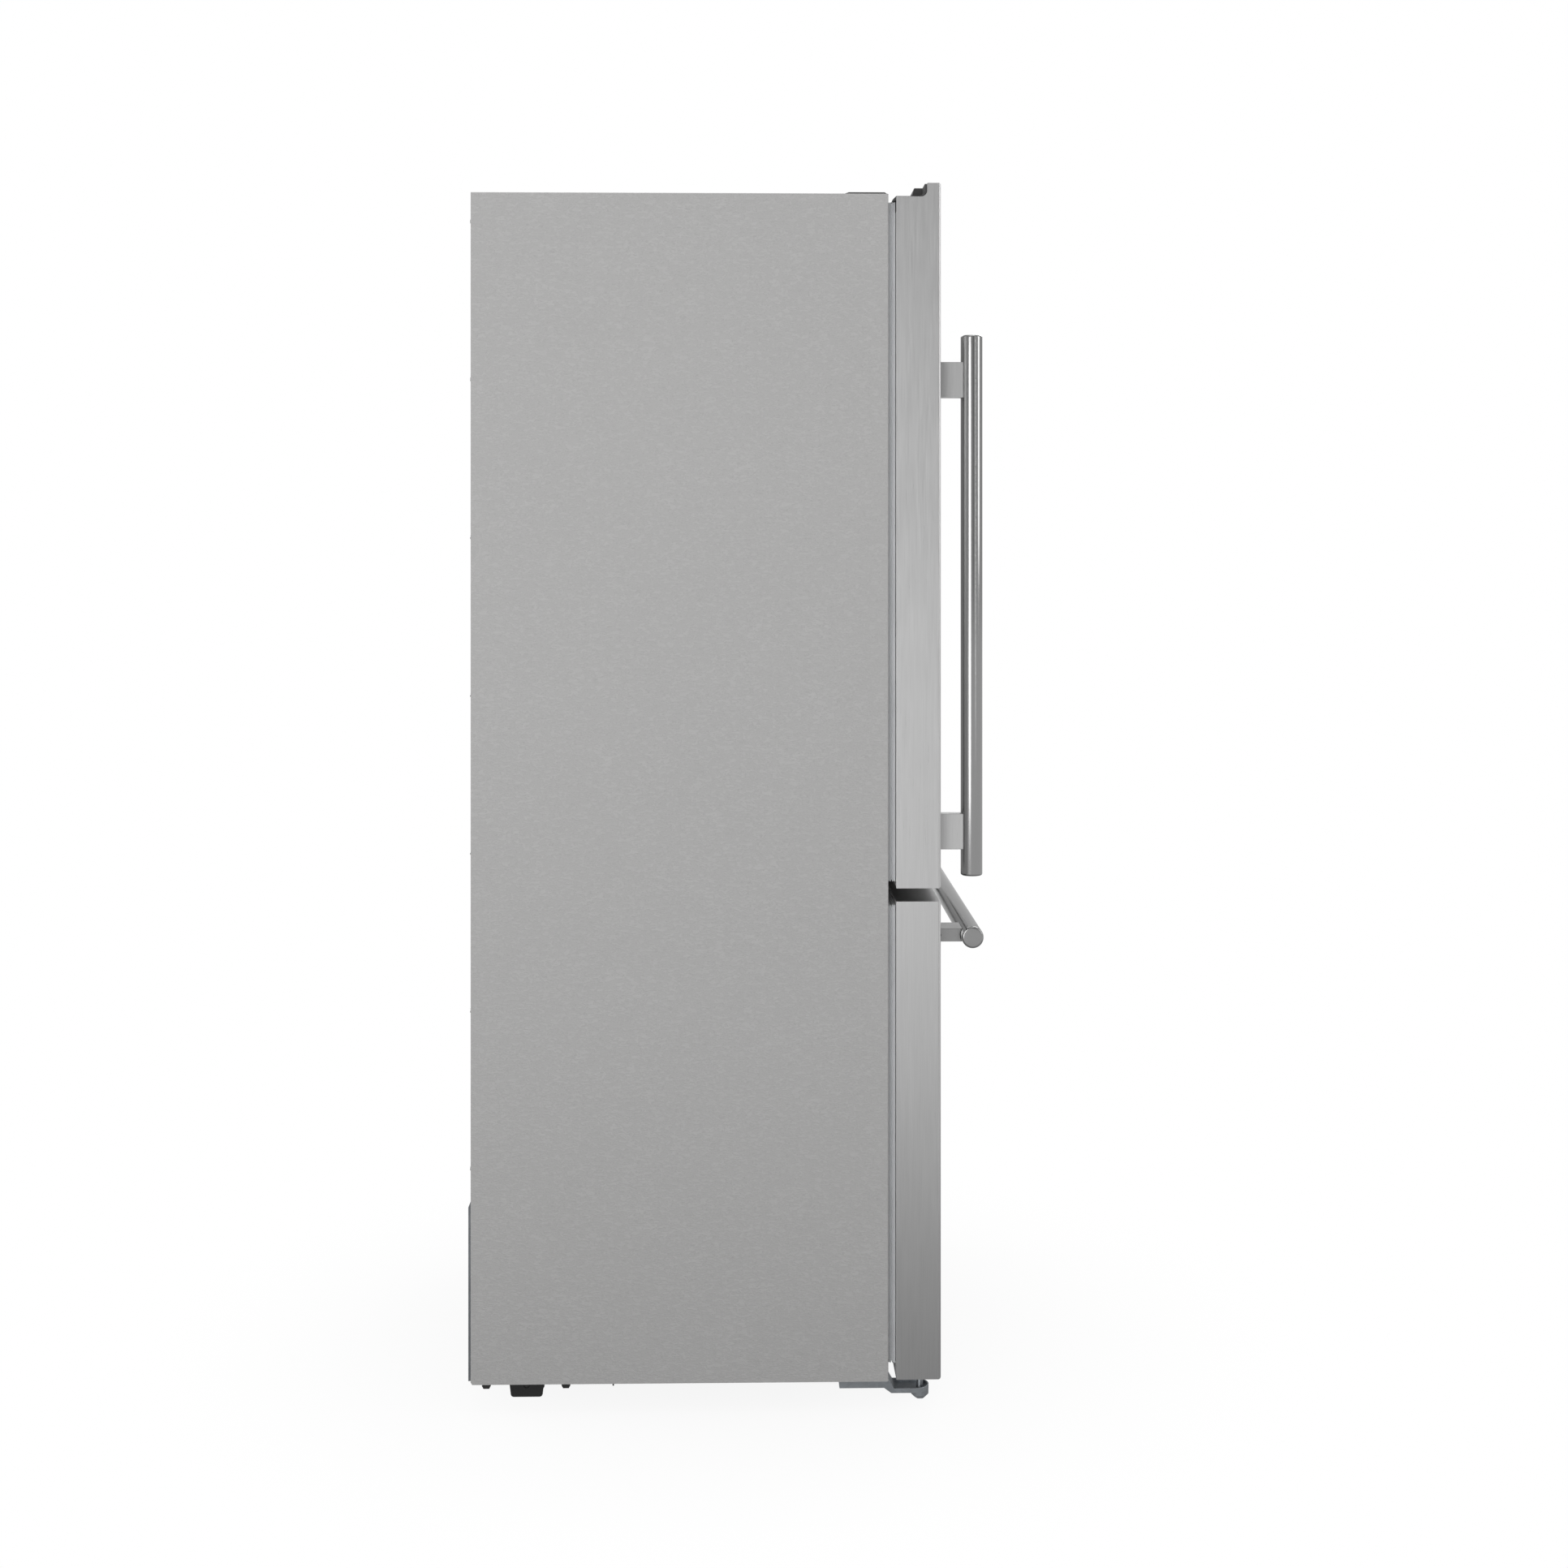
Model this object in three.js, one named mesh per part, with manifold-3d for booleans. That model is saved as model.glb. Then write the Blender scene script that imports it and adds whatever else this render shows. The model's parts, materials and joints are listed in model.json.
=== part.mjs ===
// A bottom-freezer refrigerator: one upper door hinged on the right, over a pull-out freezer drawer.
// Millimetres, +Z up. The origin is on the floor under the middle of the whole object; the doors face -Y.
import * as THREE from 'three';
import { mergeVertices } from 'three/addons/utils/BufferGeometryUtils.js';
import Module from 'manifold-3d';

const wasm = await Module();
wasm.setup();

// ---- Driving dimensions ----

const width = 790;
const height = 1829; // to the top of the door's front lip
const cabinetTop = 1812.5;
const cabinetBottom = 42.5;
const cabinetDepth = 620.8;
const doorGap = 11.7; // between the cabinet's front and the back of the doors, filled by the gaskets
const doorThickness = 66.7;
const touch = 0.3; // clearance between pieces that touch
const sheet = 1.2; // steel sheet
const plastic = 3; // moulded walls of bins and trays

const doorBottom = 777.2;
const doorTop = 1808.6;
const lipThickness = 20.5; // the raised front edge along the top of the door
const capRidgeThickness = 42; // the raised middle of the door's top cap
const hingeNotch = 50; // how far in from each side the cap's ridge stays thin
const drawerBottom = 45.1;
const drawerTop = 757.6;
const doorCorner = 4; // radius of the doors' front edges

const barRadius = 16.5;
const barStandOff = 52; // from the door's front to the bar's axis
const doorBarX = -335;
const doorBarBottom = 787.9;
const doorBarTop = 1606.9;
const doorPostHeights = [855.2, 1539];
const drawerBarZ = 696.4;
const drawerBarHalfLength = 355;
const drawerPostX = 305;
const postLength = 54; // along the bar
const postWidth = 20;

const rearCoverProud = 5.5;
const sideWall = 48; // outside of the cabinet to the inside of the liner
const rearWall = 52;
const linerSkin = 2;
const linerRim = 17.7; // the liner's flange around its opening
const rimStep = 3; // how much less that flange is where the two openings meet
const innerWall = 3; // the doors' inner walls
const capDepth = 22; // how far the door's top cap reaches down
const frontFlange = 30; // the side panels' flange on the cabinet's front

const freshBottom = 812;
const freshTop = 1768;
const freezerBottom = 100;
const freezerTop = 722;
const freezerStep = 365; // the freezer's raised floor over the machine compartment
const machineTop = 318;
const machineFrontLow = 150; // the sloping front wall of the machine compartment, in Y
const machineFrontHigh = 190;

const gasketInset = 14; // from the door's side
const gasketWidth = 21;
const hingeInset = 16; // the door pivot, in from the right side
const hingePinRadius = 6;
const pinHoleRadius = 6.8;

const footInset = 50;
const rollerInset = 77;
const rollerRadius = 19;
const fanRadius = 62;

// ---- Derived places ----

const halfWidth = width / 2;
const totalDepth = rearCoverProud + cabinetDepth + doorGap + doorThickness + barStandOff + barRadius;
const coverBack = totalDepth / 2;
const cabinetBack = coverBack - rearCoverProud;
const cabinetFront = cabinetBack - cabinetDepth;
const doorBack = cabinetFront - doorGap;
const doorFront = doorBack - doorThickness;
const barY = doorFront - barStandOff;
const pivotX = halfWidth - hingeInset;
const pivotY = doorBack - 30;
const innerSide = halfWidth - sideWall;
const innerBack = cabinetBack - rearWall;
const shellInside = halfWidth - sheet - touch;
const frontFace = [cabinetFront, cabinetFront + sheet];
const onBasePan = cabinetBottom + 2.1;

// ---- Finishes ----

function finish(color, roughness, metalness) {
  return new THREE.MeshStandardMaterial({ color, roughness, metalness });
}

const paintedSteel = finish(0xa9a9a8, 0.55, 0.2);
const brushedSteel = finish(0xa8a9ab, 0.35, 1.0);
const galvanised = finish(0x8d9499, 0.5, 0.8);
const blackSteel = finish(0x1c1c1e, 0.5, 0.6);
const whitePlastic = finish(0xeeefee, 0.35, 0.0);
const clearPlastic = finish(0xd5dde0, 0.15, 0.0);
const greyPlastic = finish(0x55565a, 0.5, 0.0);
const blackPlastic = finish(0x202022, 0.6, 0.0);
const gasketRubber = finish(0xc4c5c4, 0.7, 0.0);
const foam = finish(0xe6d9a8, 0.95, 0.0);
const aluminium = finish(0xc4c8cc, 0.4, 0.9);
const glass = finish(0xcfe3df, 0.08, 0.0);

// ---- Shape helpers ----

// A closed three.js geometry as a solid that can be joined and cut.
function solid(geometry) {
  const bare = geometry.index ? geometry.toNonIndexed() : geometry.clone();
  bare.deleteAttribute('normal');
  bare.deleteAttribute('uv');
  const merged = mergeVertices(bare, 1e-4);
  const vertProperties = new Float32Array(merged.attributes.position.array);
  const triVerts = new Uint32Array(merged.index.array);
  return new wasm.Manifold(new wasm.Mesh({ numProp: 3, vertProperties, triVerts }));
}

function join(...solids) {
  return solids.reduce((whole, part) => whole.add(part));
}

function cut(whole, ...tools) {
  return tools.reduce((rest, tool) => rest.subtract(tool), whole);
}

// A block from its ranges along X, Y and Z.
function block([x0, x1], [y0, y1], [z0, z1]) {
  const geometry = new THREE.BoxGeometry(x1 - x0, y1 - y0, z1 - z0);
  geometry.translate((x0 + x1) / 2, (y0 + y1) / 2, (z0 + z1) / 2);
  return solid(geometry);
}

const planes = {
  x: [new THREE.Vector3(0, 1, 0), new THREE.Vector3(0, 0, 1), new THREE.Vector3(1, 0, 0)],
  y: [new THREE.Vector3(1, 0, 0), new THREE.Vector3(0, 0, 1), new THREE.Vector3(0, -1, 0)],
  z: [new THREE.Vector3(1, 0, 0), new THREE.Vector3(0, 1, 0), new THREE.Vector3(0, 0, 1)],
};

// An outline pushed along an axis. It is drawn in (Y, Z) for x, (X, Z) for y and (X, Y) for z.
function prism(outline, axis, [from, to], curveSegments = 4) {
  const shape = Array.isArray(outline)
    ? new THREE.Shape(outline.map(([a, b]) => new THREE.Vector2(a, b)))
    : outline;
  const geometry = new THREE.ExtrudeGeometry(shape, { depth: to - from, bevelEnabled: false, curveSegments });
  const [across, up, along] = planes[axis];
  geometry.applyMatrix4(new THREE.Matrix4().makeBasis(across, up, along));
  const start = axis === 'y' ? to : from;
  geometry.translate(axis === 'x' ? start : 0, axis === 'y' ? start : 0, axis === 'z' ? start : 0);
  return solid(geometry);
}

function roundedRectangle([a0, a1], [b0, b1], radius) {
  const shape = new THREE.Shape();
  shape.moveTo(a0 + radius, b0);
  shape.lineTo(a1 - radius, b0);
  shape.absarc(a1 - radius, b0 + radius, radius, -Math.PI / 2, 0, false);
  shape.lineTo(a1, b1 - radius);
  shape.absarc(a1 - radius, b1 - radius, radius, 0, Math.PI / 2, false);
  shape.lineTo(a0 + radius, b1);
  shape.absarc(a0 + radius, b1 - radius, radius, Math.PI / 2, Math.PI, false);
  shape.lineTo(a0, b0 + radius);
  shape.absarc(a0 + radius, b0 + radius, radius, Math.PI, Math.PI * 1.5, false);
  return shape;
}

// Turns a shape made about +Y, such as a cylinder or a lathe, to stand along another axis.
function along(geometry, axis, [x, y, z]) {
  if (axis === 'x') {
    geometry.rotateZ(-Math.PI / 2);
  }
  if (axis === 'z') {
    geometry.rotateX(Math.PI / 2);
  }
  return solid(geometry.translate(x, y, z));
}

function rod(axis, radius, length, centre, sides = 16) {
  return along(new THREE.CylinderGeometry(radius, radius, length, sides), axis, centre);
}

function turned(profile, axis, centre, sides = 24) {
  const points = profile.map(([r, h]) => new THREE.Vector2(r, h));
  return along(new THREE.LatheGeometry(points, sides), axis, centre);
}

// A rectangular ring in the X-Z plane, pushed along Y.
function frame([x0, x1], [z0, z1], barWidth, depth) {
  const outer = block([x0, x1], depth, [z0, z1]);
  const hole = block([x0 + barWidth, x1 - barWidth], [depth[0] - 1, depth[1] + 1],
    [z0 + barWidth, z1 - barWidth]);
  return outer.subtract(hole);
}

// An open-topped bin with rounded upright corners.
function bin([x0, x1], [y0, y1], [z0, z1], wall, radius = 10) {
  const outside = prism(roundedRectangle([x0, x1], [y0, y1], radius), 'z', [z0, z1]);
  const inner = roundedRectangle([x0 + wall, x1 - wall], [y0 + wall, y1 - wall], radius - wall);
  return outside.subtract(prism(inner, 'z', [z0 + wall, z1 + 1]));
}

function addTo(group, name, shape, material, position = [0, 0, 0]) {
  const { vertProperties, triVerts, numProp } = shape.getMesh();
  const geometry = new THREE.BufferGeometry();
  const count = vertProperties.length / numProp;
  const corners = new Float32Array(count * 3);
  for (let i = 0; i < count; i += 1) {
    corners.set(vertProperties.subarray(i * numProp, i * numProp + 3), i * 3);
  }
  geometry.setAttribute('position', new THREE.BufferAttribute(corners, 3));
  geometry.setIndex(new THREE.BufferAttribute(new Uint32Array(triVerts), 1));
  geometry.computeVertexNormals();
  const mesh = new THREE.Mesh(geometry, material);
  mesh.name = name;
  mesh.position.set(...position);
  group.add(mesh);
}

const sides = [['left', -1], ['right', 1]];

// A range that starts at the middle, mirrored to the left for side -1.
function mirrored([near, far], side) {
  return side > 0 ? [near, far] : [-far, -near];
}

// ---- Cabinet shell ----

function sidePanel(side) {
  const corner = 3;
  const outline = new THREE.Shape();
  outline.moveTo(halfWidth - frontFlange, cabinetFront);
  outline.lineTo(halfWidth - corner, cabinetFront);
  outline.absarc(halfWidth - corner, cabinetFront + corner, corner, -Math.PI / 2, 0, false);
  outline.lineTo(halfWidth, cabinetBack);
  outline.lineTo(halfWidth - sheet, cabinetBack);
  outline.lineTo(halfWidth - sheet, cabinetFront + corner);
  outline.absarc(halfWidth - corner, cabinetFront + corner, corner - sheet, 0, -Math.PI / 2, true);
  outline.lineTo(halfWidth - frontFlange, cabinetFront + sheet);
  const clipped = prism([
    [cabinetBack - 3, cabinetBottom - 1], [cabinetBack + 1, cabinetBottom - 1],
    [cabinetBack + 1, cabinetBottom + 5],
  ], 'x', [0, halfWidth + 1]);
  const panel = cut(prism(outline, 'z', [cabinetBottom, cabinetTop], 3), clipped);
  return side > 0 ? panel : panel.mirror([1, 0, 0]);
}

function topPanel() {
  const flange = cabinetTop - freshTop - linerRim - touch;
  const outline = [
    [cabinetFront, cabinetTop - flange],
    [cabinetFront + sheet, cabinetTop - flange],
    [cabinetFront + sheet, cabinetTop - sheet],
    [cabinetBack, cabinetTop - sheet],
    [cabinetBack, cabinetTop],
    [cabinetFront, cabinetTop],
  ];
  const notch = frontFlange - sheet;
  const panel = prism(outline, 'x', [-shellInside, shellInside]);
  const corners = sides.map(([, side]) => block(
    mirrored([shellInside - notch, shellInside + 1], side),
    [cabinetFront - 1, cabinetFront + 4],
    [cabinetTop - flange - 1, cabinetTop + 1],
  ));
  return cut(panel, ...corners);
}

function backPanel() {
  return block([-shellInside, shellInside], [cabinetBack - sheet, cabinetBack],
    [machineTop + 2, cabinetTop - sheet - touch]);
}

// The cabinet's floor of folded steel. It turns up into a sill under the freezer's opening, and small tabs
// hang down at both sides of the machine compartment.
function basePan() {
  const floor = [cabinetBottom + touch, onBasePan - touch];
  const plate = block([-shellInside, shellInside], [cabinetFront + 5, cabinetBack - 4], floor);
  const reach = halfWidth - frontFlange - touch;
  const lip = block([-reach, reach], [cabinetFront, cabinetFront + 6], floor);
  const sill = block([-reach, reach], frontFace, [floor[0], freezerBottom - linerRim - touch]);
  const tabs = [];
  for (const [, side] of sides) {
    for (const [behind, length, low, slant] of [[15, 13, 31, 2.2], [133.5, 13, 31, 2.2], [209, 3, 34, 0.6]]) {
      const [front, back] = [cabinetBack - behind - length, cabinetBack - behind];
      const outline = [
        [front + slant, low], [back - slant, low], [back, low + 4],
        [back, floor[1]], [front, floor[1]], [front, low + 4],
      ];
      tabs.push(prism(outline, 'x', mirrored([376, 380], side)));
    }
  }
  return join(plate, lip, sill, ...tabs);
}

function machineSlope(offset) {
  return [machineFrontLow - offset, machineFrontHigh - offset];
}

function insulationFoam() {
  const [low, high] = machineSlope(0);
  const front = cabinetFront + sheet + 1;
  const back = cabinetBack - sheet - touch;
  const bottom = onBasePan;
  const top = cabinetTop - sheet - touch;
  const body = prism([
    [front, bottom], [low, bottom], [high, machineTop], [back, machineTop], [back, top], [front, top],
  ], 'x', [-shellInside, shellInside]);
  const corner = block([-halfWidth, halfWidth], [front - 1, front + 3], [0, height]);
  const flangeRoom = cut(corner, block([-innerSide, innerSide], [front - 2, front + 4], [0, height]));
  const skin = linerSkin + touch;
  const fresh = block([-innerSide - skin, innerSide + skin], [front - 1, innerBack + skin],
    [freshBottom - skin, freshTop + skin]);
  const freezer = prism(freezerSection(skin, front - 1), 'x', [-innerSide - skin, innerSide + skin]);
  return cut(body, flangeRoom, fresh, freezer);
}

// The freezer's side outline, grown by a margin, with its floor stepped up over the machine compartment.
function freezerSection(margin, front) {
  const [low, high] = machineSlope(sideWall);
  return [
    [front, freezerBottom - margin],
    [low + margin, freezerBottom - margin],
    [high + margin, freezerStep - margin],
    [innerBack + margin, freezerStep - margin],
    [innerBack + margin, freezerTop + margin],
    [front, freezerTop + margin],
  ];
}

const shelfFront = -112;
const shelfBack = 298;
const shelfHeights = { shelf_upper: 1500, shelf_middle: 1250, crisper_shelf: 1000 };
const shelfRim = 14;
const ledgeHeight = 8;

function freshFoodLiner() {
  const outside = block([-innerSide - linerSkin, innerSide + linerSkin],
    [cabinetFront, innerBack + linerSkin], [freshBottom - linerSkin, freshTop + linerSkin]);
  const rim = block([-innerSide - linerRim, innerSide + linerRim], [cabinetFront, cabinetFront + linerSkin],
    [freshBottom - linerRim + rimStep, freshTop + linerRim]);
  const inside = block([-innerSide, innerSide], [cabinetFront - 1, innerBack], [freshBottom, freshTop]);
  const ledges = [];
  for (const [, side] of sides) {
    for (const shelfTop of Object.values(shelfHeights)) {
      const under = shelfTop - shelfRim - touch;
      ledges.push(block(mirrored([innerSide - 9, innerSide + 1], side),
        [shelfFront + 30, shelfBack], [under - ledgeHeight, under]));
    }
  }
  return join(cut(join(outside, rim), inside), ...ledges);
}

function freezerLiner() {
  const outside = prism(freezerSection(linerSkin, cabinetFront), 'x',
    [-innerSide - linerSkin, innerSide + linerSkin]);
  const rim = block([-innerSide - linerRim, innerSide + linerRim], [cabinetFront, cabinetFront + linerSkin],
    [freezerBottom - linerRim, freezerTop + linerRim - rimStep]);
  const inside = prism(freezerSection(0, cabinetFront - 1), 'x', [-innerSide, innerSide]);
  return cut(join(outside, rim), inside);
}

function mullionRail() {
  const reach = halfWidth - frontFlange - touch;
  return block([-reach, reach], frontFace,
    [freezerTop + linerRim - rimStep + touch, freshBottom - linerRim + rimStep - touch]);
}

// ---- Machine compartment ----

function rearCover() {
  const reach = halfWidth - 17;
  const low = 42;
  const high = 315;
  const slope = 14;
  const section = (inset) => [
    [cabinetBack - 2 - (inset ? 5 : 0), low + inset],
    [coverBack - inset, low + inset],
    [coverBack - inset, high - slope],
    [cabinetBack - inset, high - inset],
    [cabinetBack - 2 - (inset ? 5 : 0), high - inset],
  ];
  const outside = prism(section(0), 'x', [-reach, reach]);
  const inside = prism(section(1.5), 'x', [-reach + 1.5, reach - 1.5]);
  const slots = [];
  for (let row = 0; row < 2; row += 1) {
    for (let column = -4; column <= 4; column += 1) {
      const middle = column * 72;
      const level = 110 + row * 90;
      slots.push(block([middle - 24, middle + 24], [cabinetBack, coverBack + 1], [level, level + 7]));
    }
  }
  return cut(outside, inside, ...slots);
}

function compressor() {
  const shell = turned([
    [0, 0], [52, 0], [70, 16], [78, 40], [80, 44], [80, 52],
    [78, 56], [75, 120], [60, 152], [30, 164], [0, 166],
  ], 'z', [0, 0, 62], 20);
  const plate = prism(roundedRectangle([-105, 105], [-62, 62], 12), 'z', [58, 64]);
  const terminalBox = block([-30, 30], [60, 92], [90, 150]);
  const suction = rod('z', 5, 90, [45, -30, 230], 8);
  const grommets = [];
  for (const x of [-90, 90]) {
    for (const y of [-48, 48]) {
      grommets.push(rod('z', 10, 14, [x, y, 52], 8));
    }
  }
  return join(shell, plate, terminalBox, suction, ...grommets);
}

// A block with fins across its front and back, drawn as one comb.
function finnedBlock([x0, x1], [y0, y1], heights, pitch, finDepth) {
  const count = Math.round((x1 - x0) / pitch);
  const step = (x1 - x0) / count;
  const front = [];
  const back = [];
  for (let i = 0; i < count; i += 1) {
    const x = x0 + i * step;
    const half = x + step / 2;
    const end = x + step;
    front.push([x, y0], [half, y0], [half, y0 + finDepth], [end, y0 + finDepth]);
    back.push([x, y1], [half, y1], [half, y1 - finDepth], [end, y1 - finDepth]);
  }
  return prism([...front, ...back.reverse()], 'z', heights);
}

const fanX = -70;
const fanY = 285;
const fanZ = 150;

function condenserFanShroud() {
  const plate = block([fanX - 2, fanX], [205, 365], [onBasePan, 255]);
  const hole = rod('x', fanRadius + 5, 20, [fanX, fanY, fanZ], 24);
  const motor = rod('x', 20, 34, [fanX - 27, fanY, fanZ], 12);
  const arm = block([fanX - 30, fanX - 24], [fanY - 75, fanY + 75], [fanZ - 8, fanZ + 8]);
  const feet = [-1, 1].map((end) => {
    const y = fanY + end * 72;
    return block([fanX - 30, fanX - 1], [y - 3, y + 3], [fanZ - 8, fanZ + 8]);
  });
  return join(cut(plate, hole), motor, arm, ...feet);
}

// A hub with flat blades, each tilted across the air flow, turning about X.
function fan(radius, bladeCount, depth) {
  const hub = rod('x', radius * 0.28, depth, [0, 0, 0], 16);
  const blades = [];
  for (let i = 0; i < bladeCount; i += 1) {
    const blade = new THREE.BoxGeometry(1.8, radius * 0.55, radius * 0.78);
    blade.rotateZ(0.55);
    blade.translate(0, 0, radius * 0.6);
    blade.rotateX((i / bladeCount) * Math.PI * 2);
    blades.push(solid(blade));
  }
  const rim = rod('x', radius, depth * 4, [0, 0, 0], 32);
  return join(hub, ...blades).intersect(rim);
}

// ---- Hinges, feet and rollers ----

const hingePlate = [cabinetTop + touch, cabinetTop + touch + 3];
const leaf = [pivotX - 54, pivotX - 10];
const leafBack = cabinetFront + 55;

// A leaf on the cabinet's top, with an arm that reaches forward to the pin in the door.
function topHinge() {
  const reach = 12; // less than the way from the pin to the fillet of the door's lip
  const outline = new THREE.Shape();
  outline.moveTo(leaf[0], leafBack);
  outline.lineTo(leaf[0], cabinetFront + 4);
  outline.lineTo(pivotX - reach, pivotY + 10);
  outline.absarc(pivotX, pivotY, reach, Math.PI * 0.9, Math.PI * 2.2, false);
  outline.lineTo(pivotX + 2, pivotY + 20);
  outline.lineTo(leaf[1], cabinetFront + 4);
  outline.lineTo(leaf[1], leafBack);
  const plate = prism(outline, 'z', hingePlate, 8);
  const pin = rod('z', hingePinRadius, 18, [pivotX, pivotY, hingePlate[0] - 8.5], 16);
  return join(plate, pin);
}

// A low cover, set in from the cabinet's side. The right one covers the hinge's leaf.
function hingeCoverShell(side) {
  const reach = mirrored([pivotX - 68, pivotX - 5], side);
  const [front, back] = [cabinetFront + 1, cabinetFront + 64];
  const base = cabinetTop + touch;
  const top = cabinetTop + 5.4;
  const section = [
    [front, base], [back, base], [back, top - 2], [back - 6, top], [front + 3, top], [front, top - 2],
  ];
  return prism(section, 'x', reach);
}

function hingeCover() {
  const room = block([leaf[0] - 2, leaf[1] + 2.5], [cabinetFront - 1, leafBack + 2],
    [cabinetTop, hingePlate[1] + touch]);
  return cut(hingeCoverShell(1), room);
}

// The arm between the two doors, with a flange on the cabinet's front and the pin the upper door stands on.
function middleHinge() {
  const armLow = drawerTop + 5.8;
  const armHigh = armLow + 4;
  const reach = 14;
  const rear = cabinetFront - touch;
  const outline = new THREE.Shape();
  outline.moveTo(pivotX - 26, rear);
  outline.lineTo(pivotX - reach, pivotY);
  outline.absarc(pivotX, pivotY, reach, Math.PI, Math.PI * 2, false);
  outline.lineTo(pivotX + 13, rear);
  const flange = block([pivotX - 40, pivotX + 13], [rear - 3, rear], [armLow - 8, armLow + 21]);
  const upright = (radius, from, to) => rod('z', radius, to - from, [pivotX, pivotY, (from + to) / 2]);
  const collar = upright(10, armHigh - 1, doorBottom - 0.8);
  const pin = upright(hingePinRadius, armHigh - 1, doorBottom + 15);
  return join(prism(outline, 'z', [armLow, armHigh], 8), flange, collar, pin);
}

const footY = cabinetBack - 671.6;

// A pressed tray with an S bend: it bolts under the cabinet and drops forward to hold the foot.
function footBracket() {
  const rear = cabinetBack - 549;
  const bendBack = cabinetBack - 616;
  const bendFront = cabinetBack - 627;
  const nose = cabinetBack - 685;
  const low = 14.4;
  const drop = 7.9;
  const rearHeight = 19.9;
  const trayHeight = 7;
  const reach = 22;
  const body = prism([
    [rear, low + drop + rearHeight], [bendBack - 3, low + drop + rearHeight],
    [bendFront - 4, low + trayHeight],
    [nose, low + trayHeight], [nose, low], [bendFront, low], [bendBack, low + drop], [rear, low + drop],
  ], 'x', [-reach, reach]);
  const plan = (inset, back) => {
    const half = reach - inset;
    const shape = new THREE.Shape();
    shape.moveTo(half, back);
    shape.lineTo(-half, back);
    shape.lineTo(-half, nose + reach);
    shape.absarc(0, nose + reach, half, Math.PI, Math.PI * 2, false);
    return shape;
  };
  const outside = prism(plan(0, rear), 'z', [0, 60], 8);
  const recess = prism(plan(2.5, bendFront - 6), 'z', [low + 2, 60], 8);
  const hole = rod('z', 5.7, 20, [0, footY, low], 16);
  return cut(body.intersect(outside), recess, hole);
}

function levellingFoot() {
  const pad = turned([[0, 0], [7.5, 0], [13.5, 5.5], [13.5, 13.9], [0, 13.9]], 'z', [0, 0, 0], 6);
  const stem = rod('z', 5, 20, [0, 0, 20], 12);
  return join(pad, stem);
}

const rollerY = cabinetBack - 77.4;

// Two ribbed cheeks under a plate, that hold the roller's axle between them.
function rollerHousing() {
  const top = cabinetBottom - touch;
  const low = 1.2;
  const section = [
    [-20, low], [20, low], [22.6, low + 1], [24, low + 3.5],
    [28.5, top], [-28.5, top], [-24, low + 3.5], [-22.6, low + 1],
  ];
  const cheek = 17;
  const body = prism(section, 'x', [-cheek, cheek]);
  const room = block([-13, 13], [-30, 30], [0, top - 3]);
  const ribs = [];
  for (const x of [[-cheek - 1.5, -cheek + 0.5], [cheek - 0.5, cheek + 1.5]]) {
    for (const y of [-9, 6, 13]) {
      ribs.push(block(x, [y - 1, y + 1], [top - 15, top]));
    }
  }
  const bore = rod('x', 4.4, 40, [0, 0, rollerRadius], 16);
  return cut(join(body, ...ribs), room, bore);
}

function roller() {
  const wheel = turned([[0, -11], [16, -11], [rollerRadius, -9], [rollerRadius, 9], [16, 11], [0, 11]],
    'x', [0, 0, 0], 24);
  return join(wheel, rod('x', 4, 34, [0, 0, 0], 12));
}

// ---- Inside the cabinet ----

function shelf(shelfTop, front, back) {
  const reach = innerSide - 3;
  const plate = block([-reach, reach], [front, back], [shelfTop - shelfRim, shelfTop]);
  const under = block([-reach + 12, reach - 12], [front + 12, back - 12],
    [shelfTop - shelfRim - 1, shelfTop - 5]);
  return cut(plate, under);
}

const crisperFront = -12;
const crisperHandle = 16;

// A bin with a grip along the top of its front.
function crisper() {
  const reach = (innerSide - 22) / 2;
  const top = 966;
  const nose = crisperFront - crisperHandle;
  const body = bin([-reach, reach], [crisperFront, 283], [freshBottom + 4, top], 2.5);
  const grip = prism([
    [crisperFront + 1, top - 4], [crisperFront + 1, top], [nose, top],
    [nose, top - 16], [nose + 3, top - 16], [nose + 3, top - 4],
  ], 'x', [-reach + 30, reach - 30]);
  return join(body, grip);
}

function airDuct() {
  const body = prism([
    [-110, innerBack - 22], [-96, innerBack - 29], [96, innerBack - 29], [110, innerBack - 22],
    [110, innerBack - touch], [-110, innerBack - touch],
  ], 'z', [1020, 1735]);
  const vents = [];
  for (let level = 1100; level < 1700; level += 130) {
    for (const x of [-66, 10]) {
      vents.push(block([x, x + 56], [innerBack - 31, innerBack - 25], [level, level + 12]));
    }
  }
  return cut(body, ...vents);
}

function ceilingLight() {
  return prism([[-70, freshTop - touch], [-70, freshTop - 9], [-58, freshTop - 17], [92, freshTop - 17],
    [104, freshTop - 9], [104, freshTop - touch]], 'x', [-150, 150]);
}

const coverY = 262;

function evaporatorCover() {
  const plate = block([-innerSide + 3, innerSide - 3], [coverY - 6, coverY],
    [freezerStep + touch, freezerTop - touch]);
  const motor = rod('y', 15, 24, [0, coverY + 11, 640], 12);
  const slots = [];
  for (const column of [-3, -2, 2, 3]) {
    for (let row = 0; row < 4; row += 1) {
      const middle = column * 85;
      const level = 600 + row * 24;
      slots.push(block([middle - 32, middle + 32], [coverY - 8, coverY + 2], [level, level + 9]));
    }
  }
  return join(cut(plate, ...slots), motor);
}

const railLow = 452;
const railHigh = 492;
const railFront = cabinetFront + 14;
const railBack = 205;
const slideWall = 8;

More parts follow.
